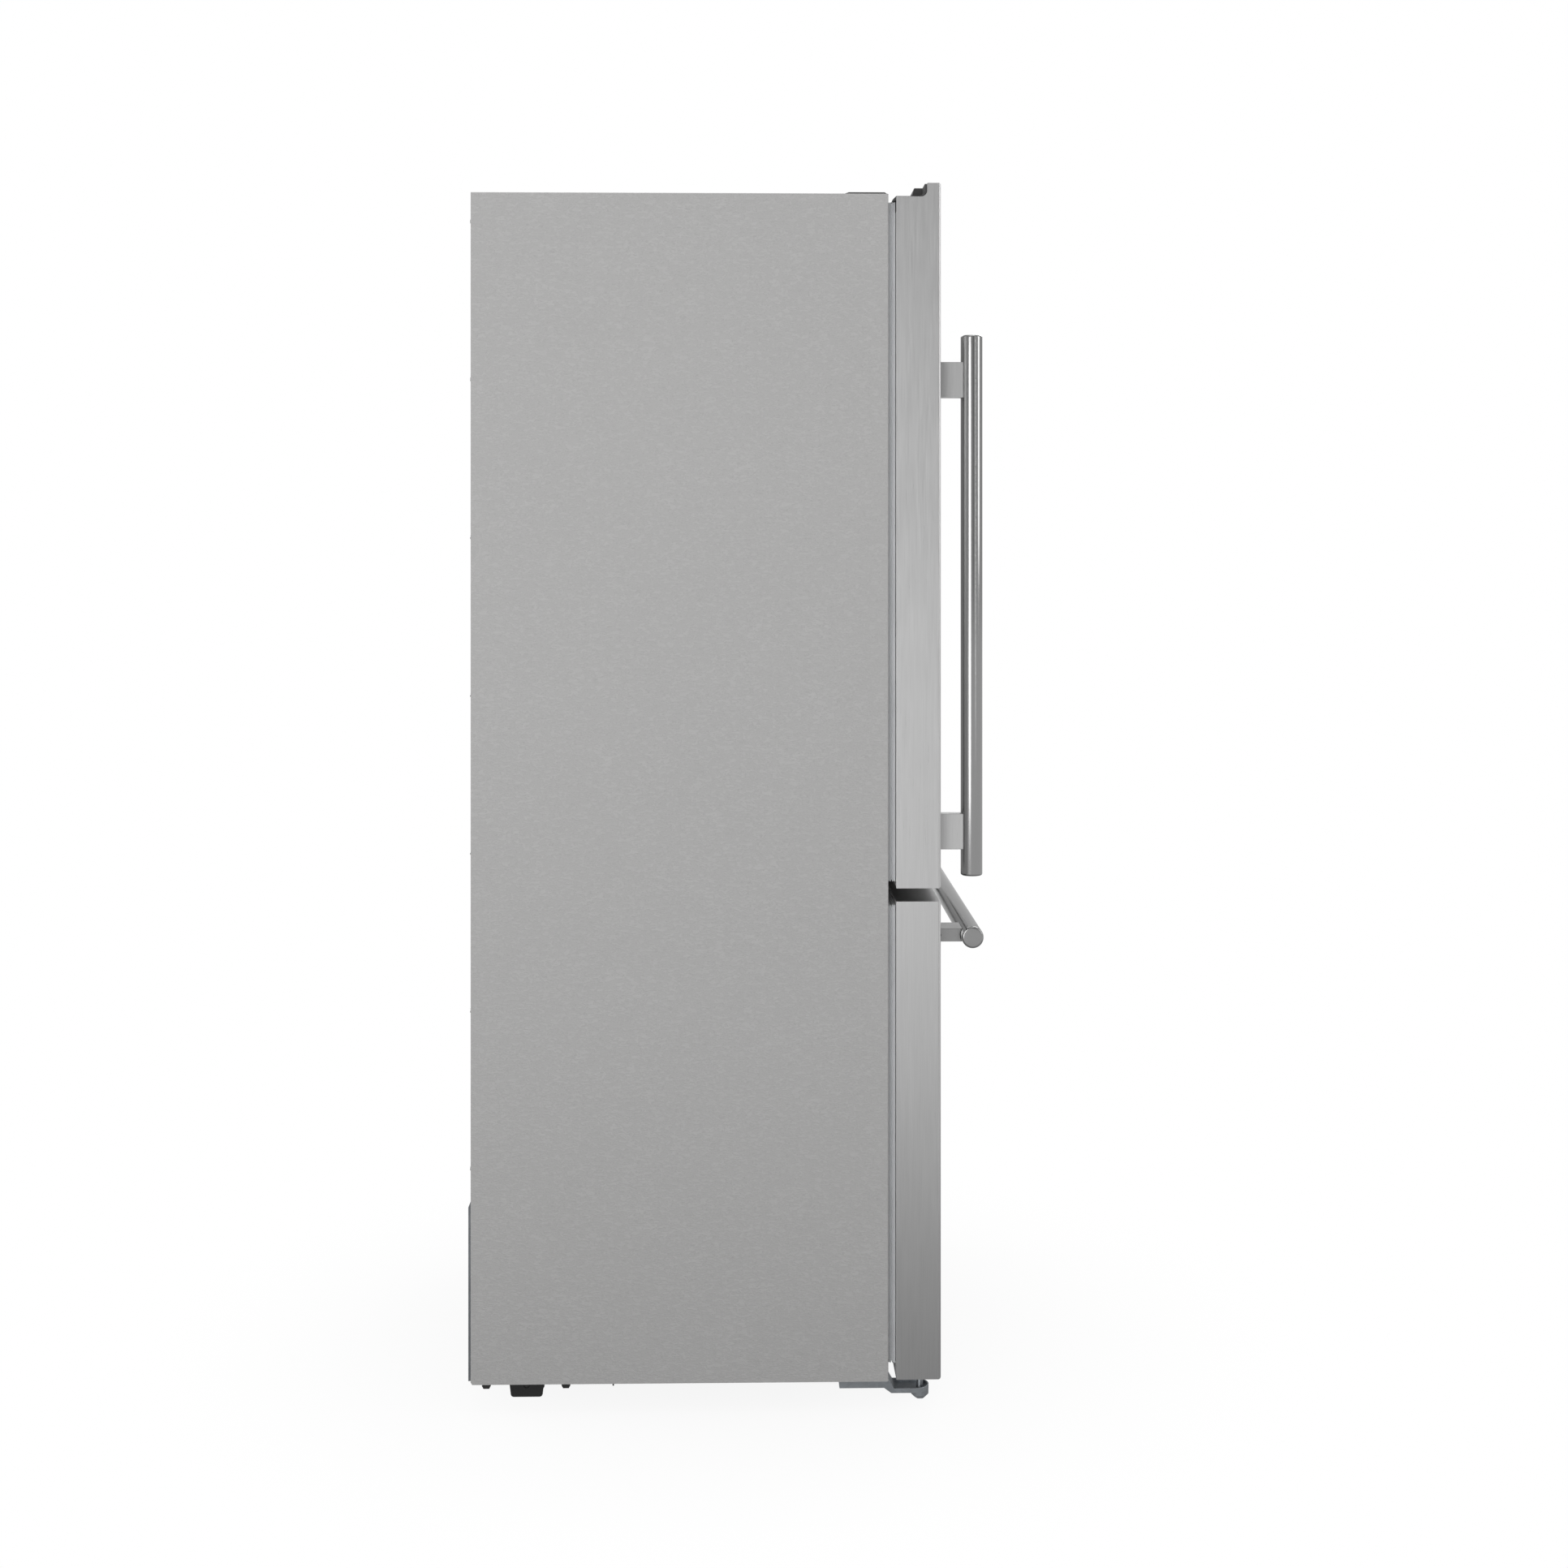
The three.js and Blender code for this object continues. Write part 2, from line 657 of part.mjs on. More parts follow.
// A channel that opens towards the middle of the freezer.
function fixedRail(side) {
  const outer = innerSide - touch;
  const channel = cut(
    block([outer - slideWall - 3, outer], [railFront, railBack], [railLow, railHigh]),
    block([outer - slideWall - 4, outer - 2], [railFront - 1, railBack + 1], [railLow + 2, railHigh - 2]),
  );
  return side > 0 ? channel : channel.mirror([1, 0, 0]);
}

function middleRail(side) {
  const outer = innerSide - touch - 2 - touch;
  const bar = block([outer - slideWall, outer], [railFront, railBack - 10], [railLow + 2.5, railHigh - 2.5]);
  const room = block([outer - slideWall - 1, outer - 2], [railFront - 1, railBack],
    [railLow + 4.5, railHigh - 4.5]);
  return side > 0 ? cut(bar, room) : cut(bar, room).mirror([1, 0, 0]);
}

// ---- Upper door ----

// A folded steel pan, open at the back. Its front edges are rounded, and a lip can rise along its top.
function doorPan(bottom, top, lipTop) {
  const lipBack = doorFront + lipThickness;
  const profile = new THREE.Shape();
  profile.moveTo(doorBack, bottom);
  profile.lineTo(doorBack, top);
  if (lipTop > top) {
    const fillet = 9;
    profile.lineTo(lipBack + fillet, top);
    profile.absarc(lipBack + fillet, top + fillet, fillet, -Math.PI / 2, -Math.PI, true);
    profile.lineTo(lipBack, lipTop);
  }
  profile.lineTo(doorFront + 1.5, lipTop);
  profile.lineTo(doorFront, lipTop - 1.5);
  profile.lineTo(doorFront, bottom + doorCorner);
  profile.absarc(doorFront + doorCorner, bottom + doorCorner, doorCorner, Math.PI, Math.PI * 1.5, false);
  const plan = new THREE.Shape();
  plan.moveTo(halfWidth, doorBack);
  plan.lineTo(-halfWidth, doorBack);
  plan.lineTo(-halfWidth, doorFront + doorCorner);
  plan.absarc(-halfWidth + doorCorner, doorFront + doorCorner, doorCorner, Math.PI, Math.PI * 1.5, false);
  plan.lineTo(halfWidth - doorCorner, doorFront);
  plan.absarc(halfWidth - doorCorner, doorFront + doorCorner, doorCorner, -Math.PI / 2, 0, false);
  const outside = prism(profile, 'x', [-halfWidth, halfWidth])
    .intersect(prism(plan, 'z', [bottom - 1, lipTop + 1]));
  const inside = prism([
    [-halfWidth + sheet, doorBack + 5], [-halfWidth + sheet, doorFront + doorCorner],
    [-halfWidth + doorCorner, doorFront + sheet], [halfWidth - doorCorner, doorFront + sheet],
    [halfWidth - sheet, doorFront + doorCorner], [halfWidth - sheet, doorBack + 5],
  ], 'z', [bottom + sheet, lipTop - sheet]);
  return cut(outside, inside);
}

// The rigid foam between a door's skin and its inner wall.
function doorFoam(bottom, top) {
  const inset = sheet + touch;
  const corner = doorCorner + touch;
  const back = doorBack - innerWall - touch;
  return prism([
    [-halfWidth + inset, back], [-halfWidth + inset, doorFront + corner],
    [-halfWidth + corner, doorFront + inset], [halfWidth - corner, doorFront + inset],
    [halfWidth - inset, doorFront + corner], [halfWidth - inset, back],
  ], 'z', [bottom, top]);
}

function upperDoorFoam() {
  const foamBottom = doorBottom + sheet + touch;
  const pinRoom = rod('z', pinHoleRadius, 50, [pivotX, pivotY, foamBottom], 16);
  return cut(doorFoam(foamBottom, doorTop - capDepth - touch), pinRoom);
}

function doorSkin() {
  const hole = rod('z', pinHoleRadius, 20, [pivotX, pivotY, doorBottom], 16);
  return cut(doorPan(doorBottom, doorTop, height), hole);
}

// The dark plastic moulding that closes the door's top and lines the back of the steel lip. It is thin
// beside the hinge, and stands a little proud of the steel everywhere else.
function doorTopCap() {
  const front = doorFront + doorCorner + touch;
  const lipBack = doorFront + lipThickness;
  const ridge = height - sheet - touch;
  const low = doorTop - 14;
  const section = (top, lining) => [
    [doorBack - 4 + touch, doorTop - capDepth], [doorBack, doorTop - capDepth], [doorBack, doorTop - 6],
    [doorBack + 5.5, doorTop - 6], [doorBack + 5.5, doorTop - 4.7], [doorBack, top],
    [lining + 8, top], [lining + 2.4, top + 2.4], [lining, top + 8],
    [lining, ridge], [front, ridge], [front, low], [doorBack - 8, low],
  ];
  const thinStart = halfWidth - hingeNotch;
  const thin = prism(section(doorTop, lipBack - touch), 'x', [thinStart - 1, shellInside]);
  const thick = prism(section(doorTop + 0.8, lipBack + 3.6), 'x', [-shellInside, thinStart]);
  const ridgeBlock = prism([
    [lipBack + touch, doorTop - 3], [doorFront + capRidgeThickness, doorTop - 3],
    [doorFront + capRidgeThickness - 6, height - touch], [lipBack + touch, height - touch],
  ], 'x', [hingeNotch - halfWidth, thinStart]);
  const hole = rod('z', pinHoleRadius, 60, [pivotX, pivotY, doorTop], 16);
  return cut(join(thin, thick, ridgeBlock), hole);
}

const dykeReach = innerSide - 17;
const dykeWidth = 24;
const dykeDepth = 36;
const dykeLow = 832;
const dykeHigh = 1748;
const dairyFloor = 1600;
const dairyTop = 1722;
const dairyBack = -152;

// The door's inner wall, with a raised ring that carries the bins and a niche for butter and cheese.
function doorLiner() {
  const wall = block([-shellInside, shellInside], [doorBack - innerWall, doorBack - touch],
    [doorBottom + sheet + touch, doorTop - capDepth - touch]);
  const ring = frame([-dykeReach, dykeReach], [dykeLow, dykeHigh], dykeWidth,
    [doorBack - 2, doorBack + dykeDepth]);
  const inner = dykeReach - dykeWidth;
  const shelfPlate = block([-inner - 1, inner + 1], [doorBack - 2, dairyBack], [dairyFloor - 5, dairyFloor]);
  const cheeks = sides.map(([, side]) => block(
    mirrored([inner, inner + 5], side), [doorBack - 2, dairyBack], [dairyFloor - 5, dairyTop],
  ));
  return join(wall, ring, shelfPlate, ...cheeks);
}

function dairyLid() {
  const inner = dykeReach - dykeWidth;
  const low = dairyFloor + 4;
  const section = [
    [dairyBack + 1, low], [dairyBack + 4, low], [dairyBack + 4, dairyTop], [dairyBack + 1, dairyTop],
  ];
  const grip = block([-60, 60], [dairyBack + 2, dairyBack + 9], [low, low + 5]);
  return join(prism(section, 'x', [-inner - 2, inner + 2]), grip);
}

// A bellows gasket as three frames, the middle one set in between the two lips.
function gasket([z0, z1]) {
  const back = doorBack + touch;
  const front = cabinetFront - touch;
  const layers = [
    [back, back + 3.6, 0],
    [back + 3.6, back + 5.6, 3],
    [back + 5.6, back + 8.8, 0],
    [back + 8.8, front, 1.6],
  ];
  const reach = halfWidth - gasketInset;
  return join(...layers.map(([from, to, inset]) => frame(
    [-reach + inset, reach - inset], [z0 + inset, z1 - inset], gasketWidth - 2 * inset, [from, to],
  )));
}

function doorBin(depthBack, tall) {
  const reach = dykeReach - dykeWidth - 3;
  return bin([-reach, reach], [doorBack + touch, depthBack], [0, tall], plastic, 14);
}

// ---- Bars and posts ----

function bar(length) {
  const half = length / 2;
  const edge = 3.5;
  return turned([
    [0, -half], [barRadius - edge, -half], [barRadius - 1, -half + 1.2], [barRadius, -half + edge],
    [barRadius, half - edge], [barRadius - 1, half - 1.2], [barRadius - edge, half], [0, half],
  ], 'z', [0, 0, 0], 28);
}

// A block that stands on the door and is hollowed to the bar's round. It is made for an upright bar, and its
// grub screw goes in along the given axis from the given end of the post.
function post(axis, end) {
  const foot = doorFront - touch;
  const body = block([-postWidth / 2, postWidth / 2], [barY + 2, foot], [-postLength / 2, postLength / 2]);
  const barRoom = rod('z', barRadius + touch, postLength + 10, [0, barY, 0], 28);
  const screwPlace = axis === 'x'
    ? [end * postWidth / 2, foot - 4, 0]
    : [0, foot - 4, end * postLength / 2];
  return cut(body, barRoom, rod(axis, 1.7, 5, screwPlace, 8));
}

// ---- Freezer drawer ----

function drawerLiner() {
  const wall = block([-shellInside, shellInside], [doorBack - innerWall, doorBack - touch],
    [drawerBottom + sheet + touch, drawerTop - sheet - touch]);
  const ring = frame([-dykeReach, dykeReach], [freezerBottom + 14, freezerTop - 14], dykeWidth,
    [doorBack - 2, doorBack + 26]);
  return join(wall, ring);
}

const basketTop = 466;
const basketReach = 300;
const runnerOuter = innerSide - touch - 2 - touch - slideWall - touch;

// The deep basket, its rim, and the two runners that carry it and the drawer's front.
function drawerBasket() {
  const front = doorBack + 26 + touch;
  const body = bin([-basketReach, basketReach], [front + 4, 90], [116, basketTop], plastic, 18);
  const rim = cut(
    block([-runnerOuter, runnerOuter], [front, 94], [basketTop - 4, basketTop]),
    block([-basketReach + 4, basketReach - 4], [front + 8, 86], [basketTop - 5, basketTop + 1]),
  );
  const runners = sides.map(([, side]) => block(
    mirrored([runnerOuter - 7, runnerOuter], side), [front, 165], [basketTop - 6, basketTop + 18],
  ));
  return join(body, rim, ...runners);
}

const trayBottom = basketTop + 4;
const trayTop = 600;

// A shallow bin whose rim rests on the basket's runners, so it slides back and forth over the basket.
function freezerTray() {
  const reach = runnerOuter - 7 - 2;
  const front = doorBack + 26 + 8;
  const body = bin([-reach, reach], [front, front + 205], [trayBottom, trayTop], plastic, 14);
  const flange = cut(
    block([-runnerOuter, runnerOuter], [front + 20, front + 185], [basketTop + 18 + touch, basketTop + 22]),
    block([-reach + 1, reach - 1], [front, front + 205], [basketTop + 10, basketTop + 30]),
  );
  return join(body, flange);
}

// ---- The assembly ----

const refrigerator = new THREE.Group();
const cabinet = new THREE.Group();
const door = new THREE.Group();
const drawer = new THREE.Group();
refrigerator.add(cabinet, door, drawer);

for (const [name, side] of sides) {
  addTo(cabinet, `side_panel_${name}`, sidePanel(side), paintedSteel);
}
addTo(cabinet, 'top_panel', topPanel(), paintedSteel);
addTo(cabinet, 'back_panel', backPanel(), galvanised);
addTo(cabinet, 'base_pan', basePan(), blackSteel);
addTo(cabinet, 'insulation_foam', insulationFoam(), foam);
addTo(cabinet, 'fresh_food_liner', freshFoodLiner(), whitePlastic);
addTo(cabinet, 'freezer_liner', freezerLiner(), whitePlastic);
addTo(cabinet, 'mullion_rail', mullionRail(), paintedSteel);

addTo(cabinet, 'rear_cover', rearCover(), galvanised);
addTo(cabinet, 'compressor', compressor(), blackSteel, [225, 282, 0]);
const condenser = finnedBlock([-330, -130], [230, 340], [onBasePan, 250], 16, 22);
addTo(cabinet, 'condenser', condenser, blackSteel);
addTo(cabinet, 'condenser_fan_shroud', condenserFanShroud(), blackPlastic);
addTo(cabinet, 'condenser_fan', fan(fanRadius, 5, 12), blackPlastic, [fanX + 4, fanY, fanZ]);

addTo(cabinet, 'top_hinge', topHinge(), galvanised);
addTo(cabinet, 'hinge_cover', hingeCover(), greyPlastic);
addTo(cabinet, 'hinge_blank_cover', hingeCoverShell(-1), greyPlastic);
addTo(cabinet, 'middle_hinge', middleHinge(), blackSteel);
for (const [name, side] of sides) {
  const footX = side * (halfWidth - footInset);
  const rollerX = side * (halfWidth - rollerInset);
  addTo(cabinet, `foot_bracket_${name}`, footBracket(), galvanised, [footX, 0, 0]);
  addTo(cabinet, `levelling_foot_${name}`, levellingFoot(), galvanised, [footX, footY, 0]);
  addTo(cabinet, `roller_housing_${name}`, rollerHousing(), blackPlastic, [rollerX, rollerY, 0]);
  addTo(cabinet, `roller_${name}`, roller(), blackPlastic, [rollerX, rollerY, rollerRadius]);
  addTo(cabinet, `freezer_rail_${name}`, fixedRail(side), galvanised);
  addTo(drawer, `middle_rail_${name}`, middleRail(side), galvanised);
  addTo(cabinet, `crisper_${name}`, crisper(), clearPlastic, [side * (innerSide / 2 - 2), 0, 0]);
}

for (const [name, shelfTop] of Object.entries(shelfHeights)) {
  addTo(cabinet, name, shelf(shelfTop, shelfFront, shelfBack), glass);
}
addTo(cabinet, 'air_duct', airDuct(), whitePlastic);
addTo(cabinet, 'ceiling_light', ceilingLight(), whitePlastic);
addTo(cabinet, 'evaporator_cover', evaporatorCover(), whitePlastic);
const evaporator = finnedBlock([-260, 260], [278, 322], [freezerStep + 12, 570], 20, 12);
addTo(cabinet, 'evaporator', evaporator, aluminium);

addTo(door, 'door_skin', doorSkin(), brushedSteel);
addTo(door, 'door_foam', upperDoorFoam(), foam);
addTo(door, 'door_top_cap', doorTopCap(), greyPlastic);
addTo(door, 'door_liner', doorLiner(), whitePlastic);
addTo(door, 'door_gasket', gasket([785.5, 1802.2]), gasketRubber);
addTo(door, 'dairy_lid', dairyLid(), clearPlastic);
const binPlaces = [['lower', dykeLow + dykeWidth + touch, 112], ['middle', 1130, 96], ['upper', 1380, 96]];
for (const [name, floor, tall] of binPlaces) {
  addTo(door, `door_bin_${name}`, doorBin(doorBack + 116, tall), clearPlastic, [0, 0, floor]);
}
const doorBarCentre = (doorBarBottom + doorBarTop) / 2;
const doorBar = bar(doorBarTop - doorBarBottom);
addTo(door, 'door_handle_bar', doorBar, brushedSteel, [doorBarX, barY, doorBarCentre]);
for (const [name, level] of [['lower', doorPostHeights[0]], ['upper', doorPostHeights[1]]]) {
  addTo(door, `door_handle_post_${name}`, post('x', 1), brushedSteel, [doorBarX, 0, level]);
}

addTo(drawer, 'drawer_skin', doorPan(drawerBottom, drawerTop, drawerTop), brushedSteel);
const drawerFoam = doorFoam(drawerBottom + sheet + touch, drawerTop - sheet - touch);
addTo(drawer, 'drawer_foam', drawerFoam, foam);
addTo(drawer, 'drawer_liner', drawerLiner(), whitePlastic);
addTo(drawer, 'drawer_gasket', gasket([65, 750.5]), gasketRubber);
addTo(drawer, 'drawer_basket', drawerBasket(), whitePlastic);
addTo(drawer, 'freezer_tray', freezerTray(), clearPlastic);
const drawerBar = bar(drawerBarHalfLength * 2).rotate([0, 90, 0]);
addTo(drawer, 'drawer_handle_bar', drawerBar, brushedSteel, [0, barY, drawerBarZ]);
for (const [name, side] of sides) {
  const lying = post('z', side).rotate([0, 90, 0]);
  addTo(drawer, `drawer_handle_post_${name}`, lying, brushedSteel, [side * drawerPostX, 0, drawerBarZ]);
}

export default refrigerator;
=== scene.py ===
import json
import math

import bmesh
import bpy
from mathutils import Matrix, Vector


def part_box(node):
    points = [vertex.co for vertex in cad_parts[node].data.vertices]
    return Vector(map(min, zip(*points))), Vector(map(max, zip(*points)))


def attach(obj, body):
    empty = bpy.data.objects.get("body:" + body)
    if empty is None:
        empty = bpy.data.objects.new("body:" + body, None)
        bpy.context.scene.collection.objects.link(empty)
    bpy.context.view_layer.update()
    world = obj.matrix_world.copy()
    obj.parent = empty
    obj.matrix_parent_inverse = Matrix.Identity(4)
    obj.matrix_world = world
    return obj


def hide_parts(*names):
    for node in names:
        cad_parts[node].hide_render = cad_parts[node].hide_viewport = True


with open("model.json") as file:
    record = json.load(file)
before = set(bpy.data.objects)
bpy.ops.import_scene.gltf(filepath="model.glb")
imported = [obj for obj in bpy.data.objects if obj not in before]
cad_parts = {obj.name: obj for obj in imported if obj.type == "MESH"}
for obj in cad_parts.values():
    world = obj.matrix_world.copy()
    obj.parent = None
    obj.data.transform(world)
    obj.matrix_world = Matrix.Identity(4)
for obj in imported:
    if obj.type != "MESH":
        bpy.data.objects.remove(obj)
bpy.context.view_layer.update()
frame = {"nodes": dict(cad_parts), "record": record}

# The looks of a bottom-freezer refrigerator around its CAD frame, in metres. The doors face -Y.

MM = 0.001
FULL_TURN = 2 * math.pi
RANGE_SOCKETS = ("From Min", "From Max", "To Min", "To Max")


# ---- Camera, light and floor ----

CAMERA_PLACE = (-3.698, -0.009, 1.292)
CAMERA_TURN = (math.radians(90), 0, math.radians(-91.3))
CAMERA_LENS = 67.95
SENSOR_WIDTH = 36
SENSOR_HEIGHT = 48
HORIZON_SHIFT = -0.1537


def make_camera():
    """A level camera that faces the left side. Its picture fits the sensor's height."""
    data = bpy.data.cameras.new("camera")
    data.sensor_fit = "VERTICAL"
    data.sensor_width = SENSOR_WIDTH
    data.sensor_height = SENSOR_HEIGHT
    data.lens = CAMERA_LENS
    data.shift_y = HORIZON_SHIFT
    camera = bpy.data.objects.new("camera", data)
    camera.location = CAMERA_PLACE
    camera.rotation_euler = CAMERA_TURN
    bpy.context.collection.objects.link(camera)
    bpy.context.scene.camera = camera


def make_area_light(name, place, target, size, power):
    data = bpy.data.lights.new(name, "AREA")
    data.shape = "RECTANGLE"
    data.size, data.size_y = size
    data.energy = power
    light = bpy.data.objects.new(name, data)
    light.location = place
    light.rotation_euler = (Vector(target) - Vector(place)).to_track_quat("-Z", "Y").to_euler()
    bpy.context.collection.objects.link(light)


def make_lights():
    middle = (0, 0, 0.95)
    make_area_light("key_left", (-4.25, 1.4, 1.2), (0, 0, 0.55), (1.6, 2.6), 44)
    make_area_light("front_softbox", (-1.2, -4.2, 2.4), middle, (1.4, 2.4), 26)
    make_area_light("front_strip", (-3.3, -2.6, 1.6), (0, -0.3, 1.1), (0.12, 2.2), 3)
    make_area_light("right_fill", (3.2, -1.8, 3.3), middle, (2.0, 1.4), 44)
    make_area_light("back_fill", (0.8, 4.2, 2.4), middle, (2.4, 2.0), 40)
    make_area_light("top_softbox", (0, 0, 4.4), middle, (2.6, 2.6), 30)


# Two dark upright panels in the room, each from a start to an end, as shares of a full turn from -X
# towards -Y.
DARK_PANELS = ((0.022, 0.048), (0.885, 0.925))
DARK_PANEL_LEVEL = 0.35
PANEL_EDGE = 0.006


def make_panels(tree, direction):
    """The light left over by the room's dark panels, from 0 to 1."""
    turn = tree.nodes.new("ShaderNodeTexGradient")
    turn.gradient_type = "RADIAL"
    tree.links.new(direction, turn.inputs[0])
    ramp = tree.nodes.new("ShaderNodeValToRGB")
    tree.links.new(turn.outputs["Fac"], ramp.inputs[0])
    stops = ramp.color_ramp.elements
    stops[0].color = stops[1].color = (1, 1, 1, 1)
    for start, end in DARK_PANELS:
        levels = ((start - PANEL_EDGE, 1), (start, DARK_PANEL_LEVEL),
                  (end, DARK_PANEL_LEVEL), (end + PANEL_EDGE, 1))
        for place, level in levels:
            stops.new(place).color = (level, level, level, 1)
    return ramp.outputs[0]


ROOM_LEVELS = (0.54, 0.52) # the light of the grey room, level with the object and high above it
ROOM_HIGH = 0.8 # how far up, as the sine of the angle, the second level is reached


def make_world():
    """White behind the object, and a grey room, a little darker above, in everything it lights."""
    world = bpy.data.worlds.new("studio")
    bpy.context.scene.world = world
    world.use_nodes = True
    tree = world.node_tree
    tree.nodes.clear()
    coords = tree.nodes.new("ShaderNodeTexCoord")
    split = tree.nodes.new("ShaderNodeSeparateXYZ")
    height = tree.nodes.new("ShaderNodeMapRange")
    height.inputs["From Max"].default_value = ROOM_HIGH
    height.inputs["To Min"].default_value, height.inputs["To Max"].default_value = ROOM_LEVELS
    room = tree.nodes.new("ShaderNodeBackground")
    seen = tree.nodes.new("ShaderNodeBackground")
    path = tree.nodes.new("ShaderNodeLightPath")
    mix = tree.nodes.new("ShaderNodeMixShader")
    output = tree.nodes.new("ShaderNodeOutputWorld")
    tree.links.new(coords.outputs["Generated"], split.inputs[0])
    tree.links.new(split.outputs["Z"], height.inputs["Value"])
    tree.links.new(height.outputs["Result"], room.inputs["Strength"])
    tree.links.new(make_panels(tree, coords.outputs["Generated"]), room.inputs["Color"])
    tree.links.new(path.outputs["Is Camera Ray"], mix.inputs["Fac"])
    tree.links.new(room.outputs[0], mix.inputs[1])
    tree.links.new(seen.outputs[0], mix.inputs[2])
    tree.links.new(mix.outputs[0], output.inputs["Surface"])
    seen.inputs["Color"].default_value = (1, 1, 1, 1)
    bpy.context.scene.view_settings.view_transform = "Standard"


FLOOR_RADIUS = 30
FLOOR_SIDES = 96
SHADE_RADIUS = (0.2, 1.0) # where the camera's floor starts to fade and where it is all white
SHADE_LEAST_WHITE = 0.9
POOL_RADIUS = (0.2, 3.6) # the floor's glow that steel reflects and that lights the object, with painted shade: darker close to the object
POOL_LEVELS = (0.30, 0.74)


def make_floor():
    """A pale floor that takes a soft shadow near the object and fades to the white behind it. To
    all other rays it glows, with painted shade close to the object.
    """
    mesh = bpy.data.meshes.new("floor")
    shape = bmesh.new()
    bmesh.ops.create_circle(shape, cap_ends=True, segments=FLOOR_SIDES, radius=FLOOR_RADIUS)
    shape.to_mesh(mesh)
    shape.free()
    floor = bpy.data.objects.new("floor", mesh)
    bpy.context.collection.objects.link(floor)
    look = bpy.data.materials.new("pale_floor")
    look.use_nodes = True
    tree = look.node_tree
    diffuse = tree.nodes["Principled BSDF"]
    diffuse.inputs["Base Color"].default_value = (0.85, 0.85, 0.85, 1)
    diffuse.inputs["Roughness"].default_value = 0.8
    coords = tree.nodes.new("ShaderNodeTexCoord")
    distance = tree.nodes.new("ShaderNodeVectorMath")
    distance.operation = "LENGTH"
    tree.links.new(coords.outputs["Object"], distance.inputs[0])

    def by_distance(radii, levels):
        ramp = tree.nodes.new("ShaderNodeMapRange")
        ramp.interpolation_type = "SMOOTHSTEP"
        numbers = zip(RANGE_SOCKETS, (*radii, *levels))
        for socket, number in numbers:
            ramp.inputs[socket].default_value = number
        tree.links.new(distance.outputs["Value"], ramp.inputs["Value"])
        return ramp.outputs["Result"]

    white = tree.nodes.new("ShaderNodeEmission")
    pool = tree.nodes.new("ShaderNodeEmission")
    seen = tree.nodes.new("ShaderNodeMixShader")
    either = tree.nodes.new("ShaderNodeMixShader")
    path = tree.nodes.new("ShaderNodeLightPath")
    # Painted shade: the floor's glow, seen by all but the camera, is dimmer close to the object.
    tree.links.new(by_distance(POOL_RADIUS, POOL_LEVELS), pool.inputs["Strength"])
    tree.links.new(by_distance(SHADE_RADIUS, (SHADE_LEAST_WHITE, 1)), seen.inputs["Fac"])
    tree.links.new(diffuse.outputs[0], seen.inputs[1])
    tree.links.new(white.outputs[0], seen.inputs[2])
    tree.links.new(path.outputs["Is Camera Ray"], either.inputs["Fac"])
    tree.links.new(pool.outputs[0], either.inputs[1])
    tree.links.new(seen.outputs[0], either.inputs[2])
    tree.links.new(either.outputs[0], tree.nodes["Material Output"].inputs["Surface"])
    mesh.materials.append(look)


# ---- Material helpers ----


